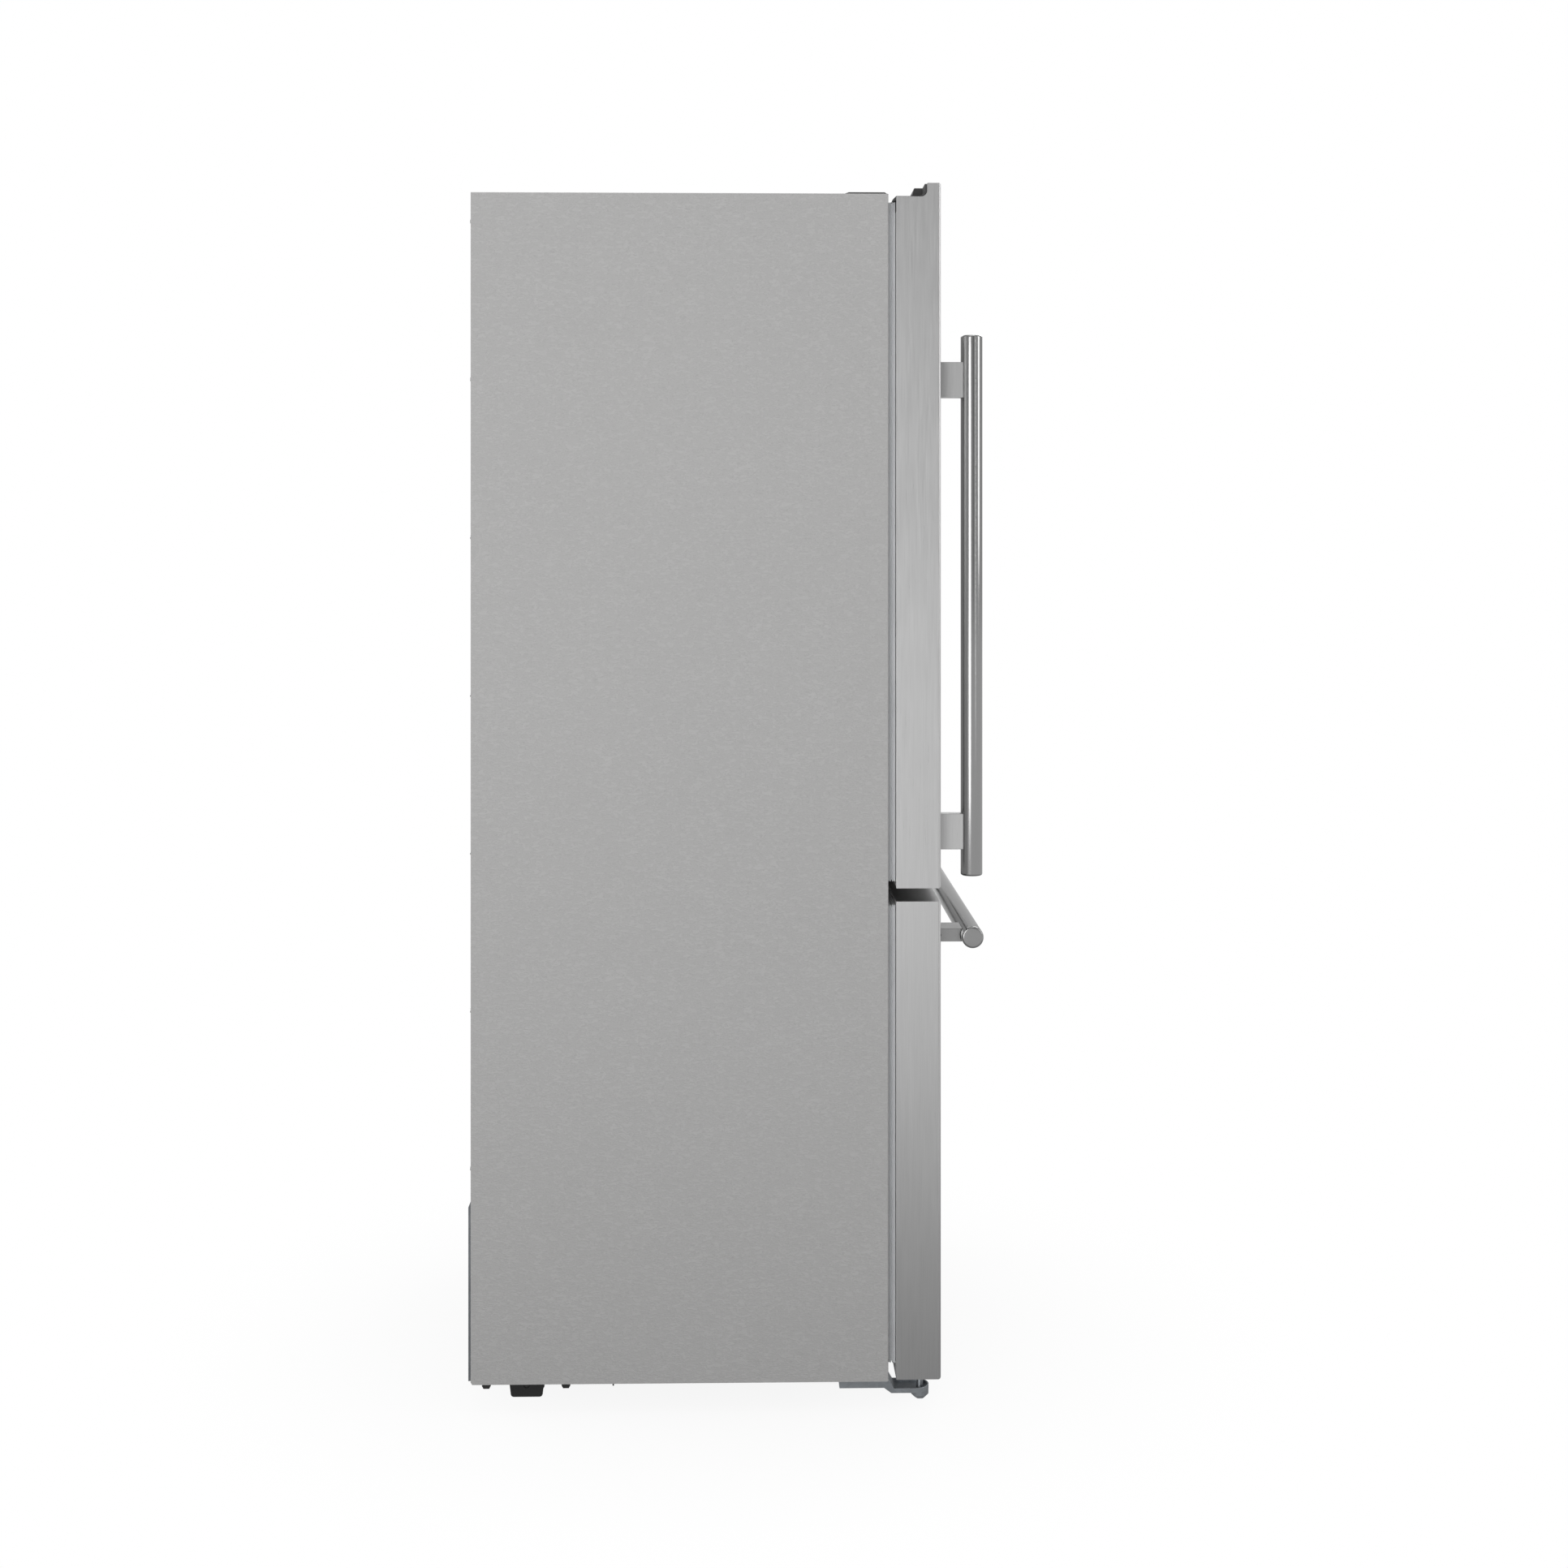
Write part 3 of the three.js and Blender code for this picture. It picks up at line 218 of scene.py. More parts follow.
class Look:
    """A principled material that is built up from noise, streaks, edge wear, painted gap shade and
    bump.
    """

    def __init__(self, name, **sockets):
        self.material = bpy.data.materials.new(name)
        self.material.use_nodes = True
        self.tree = self.material.node_tree
        self.shader = self.tree.nodes["Principled BSDF"]
        for socket, value in sockets.items():
            self.shader.inputs[socket.replace("_", " ")].default_value = value
        self.coords = self.node("ShaderNodeTexCoord").outputs["Object"]
        self.height = None

    def node(self, kind, **inputs):
        made = self.tree.nodes.new(kind)
        for name, value in inputs.items():
            self.put(value, made.inputs[name.replace("_", " ")])
        return made

    def put(self, value, socket):
        if isinstance(value, bpy.types.NodeSocket):
            self.tree.links.new(value, socket)
        else:
            socket.default_value = value

    def noise(self, scale, detail=2.0, stretch=(1, 1, 1), distortion=0.0):
        """Noise with its features 1/scale metres across, drawn out where stretch is small."""
        mapped = self.node("ShaderNodeMapping", Vector=self.coords, Scale=stretch)
        made = self.node("ShaderNodeTexNoise", Vector=mapped.outputs[0], Scale=scale,
                         Detail=detail, Distortion=distortion)
        return made.outputs["Fac"]

    def cells(self, scale):
        return self.node("ShaderNodeTexVoronoi", Vector=self.coords, Scale=scale).outputs

    def span(self, value, low, high, start=0.25, end=0.75):
        """Spreads a value that runs from start to end over low to high."""
        made = self.node("ShaderNodeMapRange", Value=value)
        numbers = zip(RANGE_SOCKETS, (start, end, low, high))
        for socket, number in numbers:
            made.inputs[socket].default_value = number
        return made.outputs["Result"]

    def blend(self, factor, first, second):
        made = self.tree.nodes.new("ShaderNodeMix")
        made.data_type = "RGBA"
        self.put(factor, made.inputs["Factor"])
        self.put(first, made.inputs[6])
        self.put(second, made.inputs[7])
        return made.outputs[2]

    def math(self, operation, first, second):
        made = self.tree.nodes.new("ShaderNodeMath")
        made.operation = operation
        self.put(first, made.inputs[0])
        self.put(second, made.inputs[1])
        return made.outputs[0]

    def edges(self, radius):
        """1 along sharp edges and 0 on flat ground, from how far a bevelled normal turns."""
        bevel = self.node("ShaderNodeBevel", Radius=radius)
        bevel.samples = 4
        flat = self.node("ShaderNodeNewGeometry")
        dot = self.tree.nodes.new("ShaderNodeVectorMath")
        dot.operation = "DOT_PRODUCT"
        self.tree.links.new(bevel.outputs[0], dot.inputs[0])
        self.tree.links.new(flat.outputs["Normal"], dot.inputs[1])
        return self.span(dot.outputs["Value"], 1.0, 0.0, 0.82, 0.995)

    def openness(self, reach):
        """1 in the open, falling to 0 deep in a gap narrower than the reach."""
        made = self.node("ShaderNodeAmbientOcclusion", Distance=reach)
        made.samples = 6
        return made.outputs["AO"]

    def bump(self, value, depth, strength=1.0):
        """Adds bump of a depth in metres on top of any bump that is already there."""
        made = self.node("ShaderNodeBump", Height=value, Distance=depth, Strength=strength)
        if self.height is not None:
            self.tree.links.new(self.height, made.inputs["Normal"])
        self.height = made.outputs[0]
        self.tree.links.new(self.height, self.shader.inputs["Normal"])

    def set(self, socket, value):
        self.put(value, self.shader.inputs[socket])


def grey(level, warmth=0.0):
    return (level * (1 + warmth), level, level * (1 - warmth), 1)


# ---- Materials ----


def painted_side():
    """Grey paint over embossed steel, with a soft orange-peel skin. Its raised peel has a painted
    highlight and its creases painted shade.
    """
    look = Look("painted_side", Metallic=0.0, IOR=1.45)
    broad = look.noise(3.0, 3.0)
    wrinkle = look.noise(270, 3.0, (1, 0.4, 1), 1.0)
    patches = look.span(look.noise(22, 2.0), 0.8, 1.0)
    peel = look.math("MULTIPLY", wrinkle, patches)
    crease = look.math("ABSOLUTE", look.math("SUBTRACT", wrinkle, 0.5), 0)
    painted_crease_shade = look.math("MULTIPLY", look.span(crease, 1.0, 0.0, 0.0, 0.035), patches)
    fine = look.noise(900, 1.0)
    base = look.blend(look.span(broad, 0, 1), grey(0.464, 0.006), grey(0.48, 0.006))
    # Painted highlight: the colour is paler where the embossed peel stands highest.
    pale = look.blend(look.span(peel, 0.0, 1.0, 0.2, 0.65), base, grey(0.522, 0.006))
    # Painted shade: the colour darkens along the creases of the wrinkles.
    with_painted_crease_shade = look.blend(look.math("MULTIPLY", painted_crease_shade, 0.5), pale, grey(0.36, 0.006))
    worn = look.math("MULTIPLY", look.edges(0.9 * MM), 0.4)
    look.set("Base Color", look.blend(worn, with_painted_crease_shade, grey(0.62)))
    look.set("Roughness", look.span(fine, 0.42, 0.56))
    look.bump(peel, 0.6 * MM, 1.0)
    look.bump(fine, 0.05 * MM, 0.4)
    return look.material


def satin_steel(name, stretch, level=0.60, low=0.26, high=0.36, ripple=0.35):
    """Satin stainless steel whose grain runs along the axis where stretch is smallest, with painted
    shade in narrow gaps.
    """
    look = Look(name, Metallic=1.0, Anisotropic=0.35)
    grain = look.noise(1500, 3.0, stretch)
    wide = look.noise(160, 3.0, stretch)
    smudge = look.noise(5.0, 3.0, distortion=0.6)
    tone = look.blend(look.span(grain, 0, 1), grey(level * 0.94), grey(level * 1.05))
    toned = look.blend(look.span(wide, 0, 0.3), tone, grey(level * 0.9))
    # Painted shade: the colour darkens towards 22% of the steel's level deep in gaps narrower than
    # 30 mm.
    closed = look.span(look.openness(30 * MM), 1, 0, 0.1, 0.75)
    with_painted_gap_shade = look.blend(closed, toned, grey(level * 0.22))
    worn = look.math("MULTIPLY", look.edges(0.8 * MM), 0.5)
    look.set("Base Color", look.blend(worn, with_painted_gap_shade, grey(0.82)))
    streaks = look.span(grain, low, high)
    look.set("Roughness", look.math("ADD", streaks, look.span(smudge, 0.0, 0.035)))
    look.bump(grain, 0.02 * MM, ripple)
    return look.material


def bluish(level, tint=0.06):
    return (level * (1 - tint), level, level * (1 + tint), 1)


def galvanised(name, level):
    """Zinc-coated sheet with faint spangle."""
    look = Look(name, Metallic=0.9)
    cells = look.cells(90)
    cloud = look.noise(12, 3.0)
    spangle = look.blend(look.span(cells["Color"], 0, 1, 0, 1), bluish(level), bluish(level * 1.3))
    dull = look.blend(look.span(cloud, 0, 0.5), spangle, bluish(level * 0.83))
    look.set("Base Color", look.blend(look.edges(0.6 * MM), dull, bluish(level * 1.65)))
    look.set("Roughness", look.span(cells["Distance"], 0.34, 0.5, 0, 0.6))
    look.bump(look.noise(700, 1.0), 0.03 * MM, 0.3)
    return look.material


def moulded_plastic(name, colour, worn, low, high, grain=900, depth=0.05):
    """Moulded plastic with a fine spark-eroded grain and paler edges."""
    look = Look(name, Metallic=0.0, IOR=1.47)
    texture = look.noise(grain, 2.0)
    cloud = look.noise(9, 3.0)
    base = look.blend(look.span(cloud, 0, 0.35), colour, worn)
    rubbed = look.math("MULTIPLY", look.edges(0.5 * MM), 0.55)
    look.set("Base Color", look.blend(rubbed, base, worn))
    look.set("Roughness", look.span(texture, low, high))
    look.bump(texture, depth * MM, 0.5)
    return look.material


def black_enamel():
    look = Look("black_steel", Metallic=0.0, IOR=1.5)
    peel = look.noise(300, 2.0)
    dust = look.noise(30, 4.0)
    base = look.blend(look.span(dust, 0, 0.3), grey(0.018), grey(0.05))
    look.set("Base Color", look.blend(look.edges(0.5 * MM), base, grey(0.11)))
    look.set("Roughness", look.span(dust, 0.3, 0.48))
    look.bump(peel, 0.1 * MM, 0.4)
    return look.material


def clear_plastic():
    """Clear moulded plastic with faint flow lines and small scratches."""
    look = Look("clear_plastic", IOR=1.49, Transmission_Weight=0.92)
    flow = look.noise(35, 3.0, (1, 1, 0.3))
    scratches = look.noise(700, 3.0, (0.06, 1, 1))
    tint = look.blend(look.span(flow, 0, 1), (0.86, 0.91, 0.93, 1), (0.93, 0.96, 0.97, 1))
    look.set("Base Color", tint)
    look.set("Roughness", look.span(scratches, 0.05, 0.16))
    look.bump(flow, 0.2 * MM, 0.2)
    return look.material


def shelf_glass():
    look = Look("shelf_glass", IOR=1.52, Transmission_Weight=1.0)
    wave = look.noise(14, 2.0)
    smear = look.noise(60, 3.0, (1, 0.3, 1))
    tint = look.blend(look.span(wave, 0, 1), (0.86, 0.95, 0.92, 1), (0.90, 0.97, 0.95, 1))
    look.set("Base Color", tint)
    look.set("Roughness", look.span(smear, 0.01, 0.06))
    look.bump(wave, 0.1 * MM, 0.1)
    return look.material


def gasket_vinyl():
    look = Look("gasket", IOR=1.46, Metallic=0.0)
    dust = look.noise(60, 4.0, (1, 1, 0.2))
    skin = look.noise(1400, 2.0)
    base = look.blend(look.span(dust, 0, 1), bluish(0.74, 0.02), bluish(0.82, 0.02))
    look.set("Base Color", look.blend(look.edges(0.4 * MM), base, bluish(0.9, 0.02)))
    look.set("Roughness", look.span(skin, 0.5, 0.68))
    look.bump(skin, 0.04 * MM, 0.4)
    return look.material


def rigid_foam():
    look = Look("foam", Metallic=0.0)
    cells = look.cells(420)
    cloud = look.noise(18, 3.0)
    tint = look.blend(look.span(cloud, 0, 1), (0.62, 0.50, 0.26, 1), (0.74, 0.64, 0.38, 1))
    look.set("Base Color", tint)
    look.set("Roughness", look.span(cells["Distance"], 0.8, 0.95, 0, 0.6))
    look.bump(cells["Distance"], 0.6 * MM, 0.8)
    return look.material


def aluminium_fins():
    look = Look("fins", Metallic=1.0)
    grain = look.noise(500, 2.0, (1, 1, 0.1))
    frost = look.noise(25, 3.0)
    look.set("Base Color", look.blend(look.span(frost, 0, 0.6), grey(0.66), grey(0.78)))
    look.set("Roughness", look.span(grain, 0.28, 0.46))
    look.bump(grain, 0.04 * MM, 0.4)
    return look.material


LOOKS = {
    "painted_side": painted_side(),
    "stainless": satin_steel("stainless", (1, 1, 0.012)),
    "galvanised": galvanised("galvanised", 0.385),
    "black_steel": black_enamel(),
    "liner_white": moulded_plastic("liner_white", grey(0.80, 0.004), grey(0.86), 0.28, 0.4, 500),
    "clear_plastic": clear_plastic(),
    "grey_plastic": moulded_plastic("grey_plastic", grey(0.045), grey(0.11), 0.42, 0.6),
    "black_plastic": moulded_plastic("black_plastic", grey(0.014), grey(0.05), 0.4, 0.6),
    "gasket": gasket_vinyl(),
    "foam": rigid_foam(),
    "fins": aluminium_fins(),
    "shelf_glass": shelf_glass(),
}
BAR_UPRIGHT = satin_steel("bar_upright", (1, 1, 0.003), 0.36, 0.13, 0.18, 0.06)
BAR_LYING = satin_steel("bar_lying", (0.003, 1, 1), 0.36, 0.13, 0.18, 0.06)
# A darker copy of the galvanised look for the rear cover and its louvres: painted shade.
ZINC_WITH_PAINTED_SHADE = galvanised("zinc_with_painted_shade", 0.22)
SCREW_STEEL = satin_steel("screw_steel", (1, 1, 1), 0.66, 0.2, 0.34)

SLOT_OF = {part["node"]: part["material_slot"] for part in frame["record"]["subparts"]}
BODIES = frame["record"]["behaviour"]["bodies"]
BODY_OF = {node: body for body, nodes in BODIES.items() for node in nodes}


# ---- Mesh helpers ----


def new_piece(name, shape, look, body, smooth_angle=35):
    """A mesh object from a bmesh, which moves with a CAD body."""
    mesh = bpy.data.meshes.new(name)
    bmesh.ops.recalc_face_normals(shape, faces=shape.faces)
    shape.to_mesh(mesh)
    shape.free()
    mesh.materials.append(look)
    mesh.shade_smooth()
    mesh.set_sharp_from_angle(angle=math.radians(smooth_angle))
    piece = bpy.data.objects.new(name, mesh)
    bpy.context.collection.objects.link(piece)
    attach(piece, body)
    return piece


def bevel(piece, width, segments=2, angle=30):
    made = piece.modifiers.new("edges", "BEVEL")
    made.width = width
    made.segments = segments
    made.limit_method = "ANGLE"
    made.angle_limit = math.radians(angle)


def add_box(shape, low, high):
    """Adds a closed box between two corners."""
    low, high = Vector(low), Vector(high)
    centre = Matrix.Translation((low + high) / 2)
    size = Matrix.Diagonal((*(high - low), 1))
    bmesh.ops.create_cube(shape, size=1, matrix=centre @ size)


AXES = {
    "x": Matrix.Rotation(math.pi / 2, 4, "Y"),
    "-x": Matrix.Rotation(-math.pi / 2, 4, "Y"),
    "y": Matrix.Rotation(-math.pi / 2, 4, "X"),
    "-y": Matrix.Rotation(math.pi / 2, 4, "X"),
    "z": Matrix.Identity(4),
}


def add_turned(shape, profile, place, axis="z", sides=48):
    """Adds a closed turned body. Its profile of (radius, height) starts and ends on the axis."""
    turn = Matrix.Translation(place) @ AXES[axis]
    rings = []
    for radius, height in profile:
        if radius == 0:
            rings.append([shape.verts.new(turn @ Vector((0, 0, height)))])
            continue
        ring = []
        for i in range(sides):
            angle = FULL_TURN * i / sides
            point = Vector((radius * math.cos(angle), radius * math.sin(angle), height))
            ring.append(shape.verts.new(turn @ point))
        rings.append(ring)
    for first, second in zip(rings, rings[1:]):
        for i in range(sides):
            j = (i + 1) % sides
            if len(first) == 1:
                shape.faces.new((first[0], second[j], second[i]))
            elif len(second) == 1:
                shape.faces.new((first[i], first[j], second[0]))
            else:
                shape.faces.new((first[i], first[j], second[j], second[i]))


def join_rings(shape, rings):
    """Joins rings of four corners into a closed frame, the last ring to the first."""
    for first, second in zip(rings, rings[1:] + rings[:1]):
        for i in range(4):
            j = (i + 1) % 4
            shape.faces.new((first[i], first[j], second[j], second[i]))


def add_hex_screw(shape, place, axis, across=7 * MM, tall=3.2 * MM):
    """Adds a hex head on a washer face, as sheet-metal appliances have."""
    radius = across / math.sqrt(3)
    washer = radius * 1.35
    face = [(0, 0), (washer, 0), (washer, 0.5 * MM), (radius * 1.02, 1.0 * MM), (0, 1.0 * MM)]
    add_turned(shape, face, place, axis, 24)
    head = [(0, 0.8 * MM), (radius, 0.8 * MM), (radius, tall - 0.5 * MM), (radius * 0.86, tall),
            (0, tall)]
    add_turned(shape, head, place, axis, 6)


# ---- CAD nodes that stay ----

EDGE_WIDTHS = {
    "side_panel": 0.35, "top_panel": 0.35, "back_panel": 0.3, "base_pan": 0.3, "door_skin": 0.4,
    "drawer_skin": 0.4, "door_top_cap": 0.8, "hinge": 0.5, "foot_bracket": 0.9,
    "levelling_foot": 0.7, "roller": 0.6, "door_handle_post": 0.7, "drawer_handle_post": 0.7,
    "rear_cover": 0.35, "gasket": 0.3, "crisper_l": 0.7, "crisper_r": 0.7, "door_bin": 0.8,
    "basket": 0.9, "tray": 0.9, "liner": 0.5,
}
OWN_LOOKS = {
    "rear_cover": ZINC_WITH_PAINTED_SHADE,
    "drawer_handle_post_left": BAR_LYING,
    "drawer_handle_post_right": BAR_LYING,
}
WELD_DISTANCE = 0.01 * MM


def dress_cad_nodes():
    """Gives each CAD node its slot's look and softens its edges."""
    for name, node in frame["nodes"].items():
        look = OWN_LOOKS.get(name, LOOKS[SLOT_OF[name]])
        if not node.material_slots:
            node.data.materials.append(look)
        for slot in node.material_slots:
            slot.material = look
        weld = node.modifiers.new("weld", "WELD")
        weld.merge_threshold = WELD_DISTANCE
        widths = [width for part, width in EDGE_WIDTHS.items() if part in name]
        if widths:
            bevel(node, widths[0] * MM)


# ---- Bars ----

BAR_SIDES = 96


def replace_bar(node, axis, look):
    """A fine turned bar with a rounded chamfer at both ends, in place of the CAD bar."""
    low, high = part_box(node)
    centre = (low + high) / 2
    size = high - low
    half = size["xyz".index(axis)] / 2
    radius = size.y / 2
    edge = 3.2 * MM
    profile = [(0, -half)]
    steps = 8
    for i in range(steps + 1):
        angle = math.pi / 2 * i / steps
        across = radius - edge + edge * math.sin(angle)
        profile.append((across, -half + edge * (1 - math.cos(angle))))
    profile += [(r, -h) for r, h in reversed(profile)]
    shape = bmesh.new()
    add_turned(shape, profile, centre, axis, BAR_SIDES)
    piece = new_piece(f"{node}_fine", shape, look, BODY_OF[node], 50)
    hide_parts(node)


def set_screws():
    """A hollow-ended grub screw in the hole of each post."""
    for name, axis in (("door_handle_post_upper", "x"), ("door_handle_post_lower", "x"),
                       ("drawer_handle_post_left", "-x"), ("drawer_handle_post_right", "x")):
        low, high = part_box(name)
        sunk = 2.2 * MM
        x = low.x + sunk if axis == "-x" else high.x - sunk
        place = (x, high.y - 4 * MM, (low.z + high.z) / 2)
        shape = bmesh.new()
        radius = 1.45 * MM
        profile = [(0, 0), (radius, 0), (radius, 1.6 * MM), (0.8 * MM, 1.7 * MM),
                   (0.7 * MM, 1.0 * MM), (0, 1.0 * MM)]
        add_turned(shape, profile, place, axis, 20)
        new_piece(f"{name}_grub_screw", shape, LOOKS["black_steel"], BODY_OF[name])


# ---- Gaskets ----


def replace_gasket(node):
    """A bellows gasket: one closed profile carried round the door with mitred corners."""
    low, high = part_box(node)
    depth = high.y - low.y
    # (inwards from the outer edge, forwards from the door) as shares of the depth
    profile = [
        (0.06, 0.0), (0.0, 0.05), (0.0, 0.16), (0.10, 0.22), (0.10, 0.27), (0.0, 0.33),
        (0.0, 0.42), (0.22, 0.50), (0.22, 0.55), (0.03, 0.63), (0.03, 0.76), (0.10, 0.81),
        (0.10, 0.86), (0.05, 0.9), (0.09, 1.0), (1.72, 1.0), (1.80, 0.92), (1.80, 0.62),
        (1.66, 0.55), (1.66, 0.48), (1.84, 0.40), (1.84, 0.06), (1.78, 0.0),
    ]
    shape = bmesh.new()
    rings = []
    for inward, forward in profile:
        inset = inward * depth
        y = low.y + forward * depth
        corners = [(low.x + inset, low.z + inset), (high.x - inset, low.z + inset),
                   (high.x - inset, high.z - inset), (low.x + inset, high.z - inset)]
        rings.append([shape.verts.new((x, y, z)) for x, z in corners])
    join_rings(shape, rings)
    piece = new_piece(f"{node}_bellows", shape, LOOKS["gasket"], BODY_OF[node], 25)
    bevel(piece, 0.25 * MM, 2, 20)
    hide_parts(node)


# ---- Shelves ----

GLASS_THICKNESS = 4 * MM
SHELF_EDGE = 14 * MM


def replace_shelf(node):
    """A glass pane held in a moulded edge, with a steel strip along its front."""
    low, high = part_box(node)
    pane = bmesh.new()
    inner = SHELF_EDGE * 0.6
    add_box(pane, (low.x + inner, low.y + inner, high.z - 1 * MM - GLASS_THICKNESS),
            (high.x - inner, high.y - inner, high.z - 1 * MM))
    glass = new_piece(f"{node}_pane", pane, LOOKS["shelf_glass"], "cabinet")
    bevel(glass, 0.4 * MM)
    edge = bmesh.new()
    profile = [(0, 0.1), (0, 0.85), (0.12, 1), (0.9, 1), (1, 0.9), (1, 0.66), (0.6, 0.66),
               (0.6, 0.5), (1, 0.5), (1, 0.4), (0.3, 0.4), (0.3, 0), (0.1, 0)]
    rings = []
    tall = high.z - low.z
    for inward, up in profile:
        inset = inward * SHELF_EDGE
        z = low.z + up * tall
        corners = [(low.x + inset, low.y + inset), (high.x - inset, low.y + inset),
                   (high.x - inset, high.y - inset), (low.x + inset, high.y - inset)]
        rings.append([edge.verts.new((x, y, z)) for x, y in corners])
    join_rings(edge, rings)
    rim = new_piece(f"{node}_edge", edge, LOOKS["liner_white"], "cabinet")
    bevel(rim, 0.5 * MM)
    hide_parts(node)
    strip = bmesh.new()
    add_box(strip, (low.x + 20 * MM, low.y - 0.8 * MM, low.z + 3 * MM),
            (high.x - 20 * MM, low.y + 0.2 * MM, high.z - 3 * MM))
    trim = new_piece(f"{node}_strip", strip, BAR_LYING, "cabinet")
    bevel(trim, 0.3 * MM)


# ---- Back of the cabinet ----

BACK_BEADS = 4
BEAD_RADIUS = 7 * MM
BEAD_PROUD = 2.2 * MM


def back_beads():
    """Long pressed beads that stiffen the back panel."""
    low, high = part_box("back_panel")
    shape = bmesh.new()
    sides = 12
    length = (high.z - low.z) * 0.42
    for row in (0.26, 0.74):
        middle = low.z + row * (high.z - low.z)
        for i in range(BACK_BEADS):
            x = low.x + (high.x - low.x) * (i + 1) / (BACK_BEADS + 1)
            outline = []
            for end, start in ((1, 0), (-1, math.pi)):
                for k in range(sides + 1):
                    angle = start + math.pi * k / sides
                    outline.append((x + BEAD_RADIUS * math.cos(angle),
                                    middle + end * length / 2 + BEAD_RADIUS * math.sin(angle)))
            rings = []
            for grow, out in ((1.0, 0.0), (0.86, 0.55), (0.6, 0.9), (0.3, 1.0)):
                ring = []
                for px, pz in outline:
                    end_z = middle + math.copysign(length / 2, pz - middle)
                    ring.append(shape.verts.new((x + (px - x) * grow, high.y + BEAD_PROUD * out,
                                                 end_z + (pz - end_z) * grow)))
                rings.append(ring)
            count = len(outline)
            for first, second in zip(rings, rings[1:]):
                for k in range(count):
                    m = (k + 1) % count
                    shape.faces.new((first[k], first[m], second[m], second[k]))
            shape.faces.new(rings[-1])
            shape.faces.new(list(reversed(rings[0])))
    new_piece("back_panel_beads", shape, LOOKS["galvanised"], "cabinet", 60)


LOUVRE_LEVELS = (0.117, 0.207)
LOUVRE_COLUMNS = 4
LOUVRE_PITCH = 72 * MM
LOUVRE_HALF = 25 * MM
LOUVRE_DROP = 7 * MM
LOUVRE_LEAN = 2.6 * MM
LOUVRE_WALL = (0.6 * MM, 0.4 * MM)
LOUVRE_STEPS = 6


def add_hood(shape, x, z, face):
    """Adds one closed curved hood that leans out of a face and is open below."""
    outer = []
    for k in range(LOUVRE_STEPS + 1):
        angle = math.pi / 2 * k / LOUVRE_STEPS
        y = face - LOUVRE_LEAN * (1 - math.sin(angle))
        outer.append((y, z + 3 * MM - LOUVRE_DROP * (1 - math.cos(angle))))
    inner = [(y - LOUVRE_WALL[0], height - LOUVRE_WALL[1]) for y, height in reversed(outer)]
    outline = outer + inner
    left = [shape.verts.new((x - LOUVRE_HALF, y, height)) for y, height in outline]
    right = [shape.verts.new((x + LOUVRE_HALF, y, height)) for y, height in outline]
    count = len(outline)
    for k in range(count):
        m = (k + 1) % count
        shape.faces.new((left[k], left[m], right[m], right[k]))
    for k in range(LOUVRE_STEPS):
        m = count - 1 - k
        shape.faces.new((left[k], left[m], left[m - 1], left[k + 1]))
        shape.faces.new((right[k], right[k + 1], right[m - 1], right[m]))


def rear_louvres():
    """A pressed hood over each air slot of the rear cover."""
    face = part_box("rear_cover")[1].y
    shape = bmesh.new()
    for level in LOUVRE_LEVELS:
        for column in range(-LOUVRE_COLUMNS, LOUVRE_COLUMNS + 1):
            add_hood(shape, column * LOUVRE_PITCH, level, face)
    new_piece("rear_cover_louvres", shape, ZINC_WITH_PAINTED_SHADE, "cabinet", 40)


REAR_SCREW_ACROSS = 6 * MM
REAR_SCREW_HEAD = 2.4 * MM
COVER_SCREW_INSET = 12 * MM
COVER_SCREW_COLUMN = 0.12 # of the two inner columns, from the middle
COVER_SCREW_TOP = 0.291 # on the cover's upper flange
PANEL_SCREW_INSET = 14 * MM
PANEL_SCREW_GAPS = 6


def rear_screws():
    """Hex screws along the rear cover's two flanges and up both sides of the back panel."""
    shape = bmesh.new()
    low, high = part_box("rear_cover")
    panel_low, panel_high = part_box("back_panel")
    y = high.y - REAR_SCREW_HEAD
    for x in (low.x + COVER_SCREW_INSET, -COVER_SCREW_COLUMN, COVER_SCREW_COLUMN,
              high.x - COVER_SCREW_INSET):
        for z in (COVER_SCREW_TOP, low.z + COVER_SCREW_INSET):
            add_hex_screw(shape, (x, y, z), "y", REAR_SCREW_ACROSS, REAR_SCREW_HEAD)
    for i in range(PANEL_SCREW_GAPS + 1):
        z = panel_low.z + 0.04 + i * (panel_high.z - panel_low.z - 0.08) / PANEL_SCREW_GAPS
        for x in (panel_low.x + PANEL_SCREW_INSET, panel_high.x - PANEL_SCREW_INSET):
            add_hex_screw(shape, (x, panel_high.y, z), "y", REAR_SCREW_ACROSS, REAR_SCREW_HEAD)
    new_piece("rear_screws", shape, SCREW_STEEL, "cabinet", 30)


HINGE_FLANGE = 3 * MM
HINGE_BOLT_RISE = 20.6 * MM # from the flange's bottom, which leaves the bolts clear of the gasket


def hinge_bolts():
    """The two bolts that hold the middle hinge's flange, over its arm."""
    shape = bmesh.new()
    low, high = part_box("middle_hinge")
    for x in (low.x + 8 * MM, low.x + 26 * MM):
        place = (x, high.y - HINGE_FLANGE, low.z + HINGE_BOLT_RISE)
        add_hex_screw(shape, place, "-y", 8 * MM, 3 * MM)
    new_piece("middle_hinge_bolts", shape, SCREW_STEEL, "cabinet", 30)


# ---- Inside ----


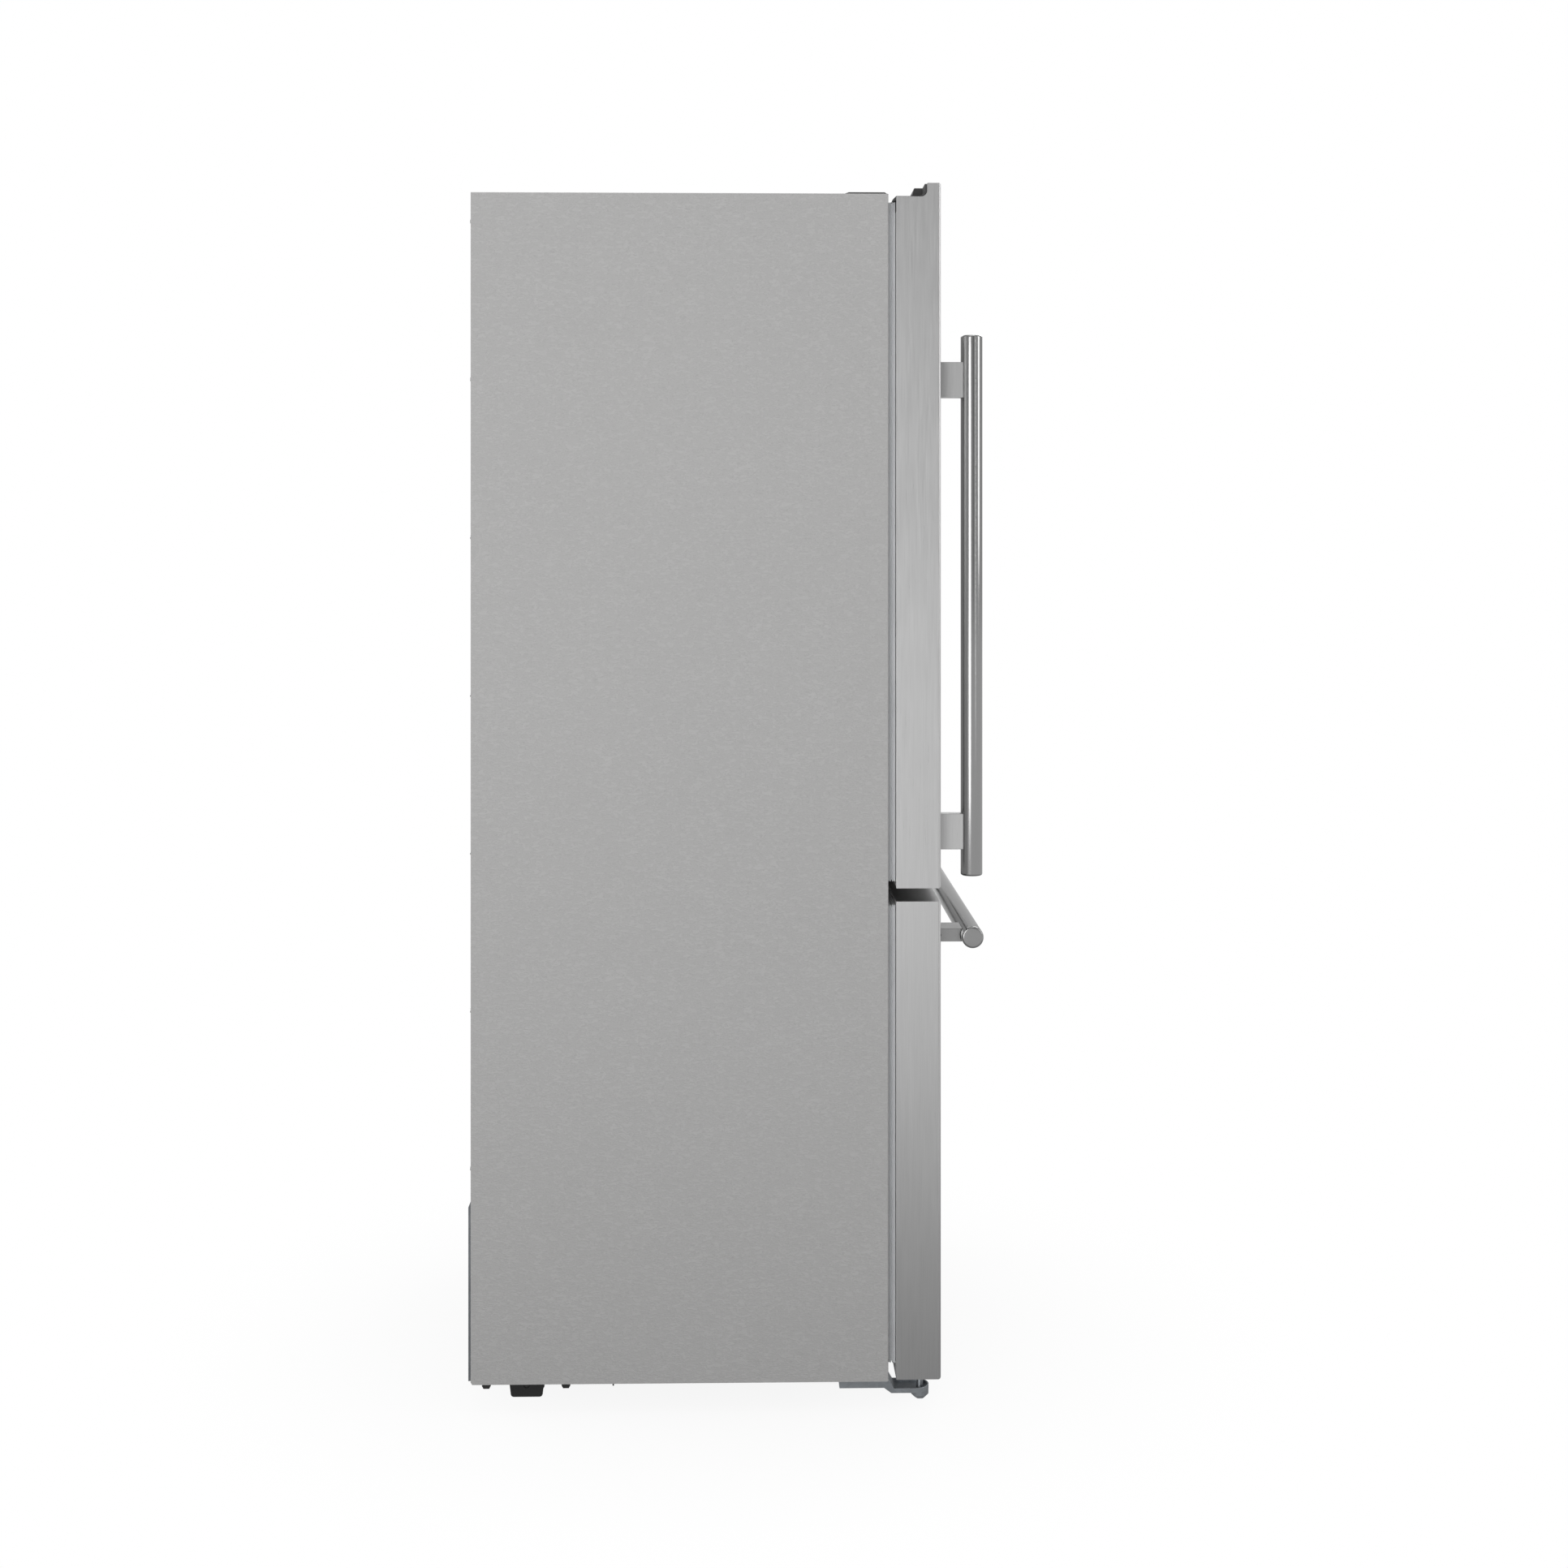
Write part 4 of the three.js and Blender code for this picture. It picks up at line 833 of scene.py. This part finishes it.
LENS_RIBS = 20
LENS_RIB_PITCH = 13 # millimetres


def light_lens():
    """A frosted lens on the ceiling light's underside, with ribs across it."""
    low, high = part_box("ceiling_light")
    shape = bmesh.new()
    z = low.z
    add_box(shape, (low.x + 18 * MM, low.y + 26 * MM, z - 1.6 * MM),
            (high.x - 18 * MM, low.y + 86 * MM, z + 0.4 * MM))
    for i in range(LENS_RIBS):
        x = low.x + 25 * MM + i * LENS_RIB_PITCH * MM
        add_box(shape, (x, low.y + 30 * MM, z - 2.4 * MM),
                (x + 3 * MM, low.y + 82 * MM, z - 1.4 * MM))
    look = LOOKS["clear_plastic"]
    piece = new_piece("ceiling_light_lens", shape, look, "cabinet")
    bevel(piece, 0.4 * MM)


def add_trim(name, low, high):
    """A bright strip between two corners, on the bin or crisper of that name."""
    shape = bmesh.new()
    add_box(shape, low, high)
    piece = new_piece(f"{name}_trim", shape, BAR_LYING, BODY_OF[name])
    bevel(piece, 0.3 * MM)


def bin_trims():
    """A bright strip along the front of each door bin and each crisper."""
    for name in ("door_bin_lower", "door_bin_middle", "door_bin_upper"):
        low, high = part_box(name)
        add_trim(name, (low.x + 24 * MM, high.y - 0.1 * MM, high.z - 16 * MM),
                 (high.x - 24 * MM, high.y + 0.9 * MM, high.z - 4 * MM))
    for name in ("crisper_left", "crisper_right"):
        low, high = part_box(name)
        add_trim(name, (low.x + 34 * MM, low.y - 0.9 * MM, high.z - 15 * MM),
                 (high.x - 34 * MM, low.y + 0.1 * MM, high.z - 3 * MM))


# ---- The scene ----

make_camera()
make_world()
make_lights()
make_floor()
dress_cad_nodes()
replace_bar("door_handle_bar", "z", BAR_UPRIGHT)
replace_bar("drawer_handle_bar", "x", BAR_LYING)
set_screws()
for gasket in ("door_gasket", "drawer_gasket"):
    replace_gasket(gasket)
for shelf in ("shelf_upper", "shelf_middle", "crisper_shelf"):
    replace_shelf(shelf)
back_beads()
rear_louvres()
rear_screws()
hinge_bolts()
light_lens()
bin_trims()
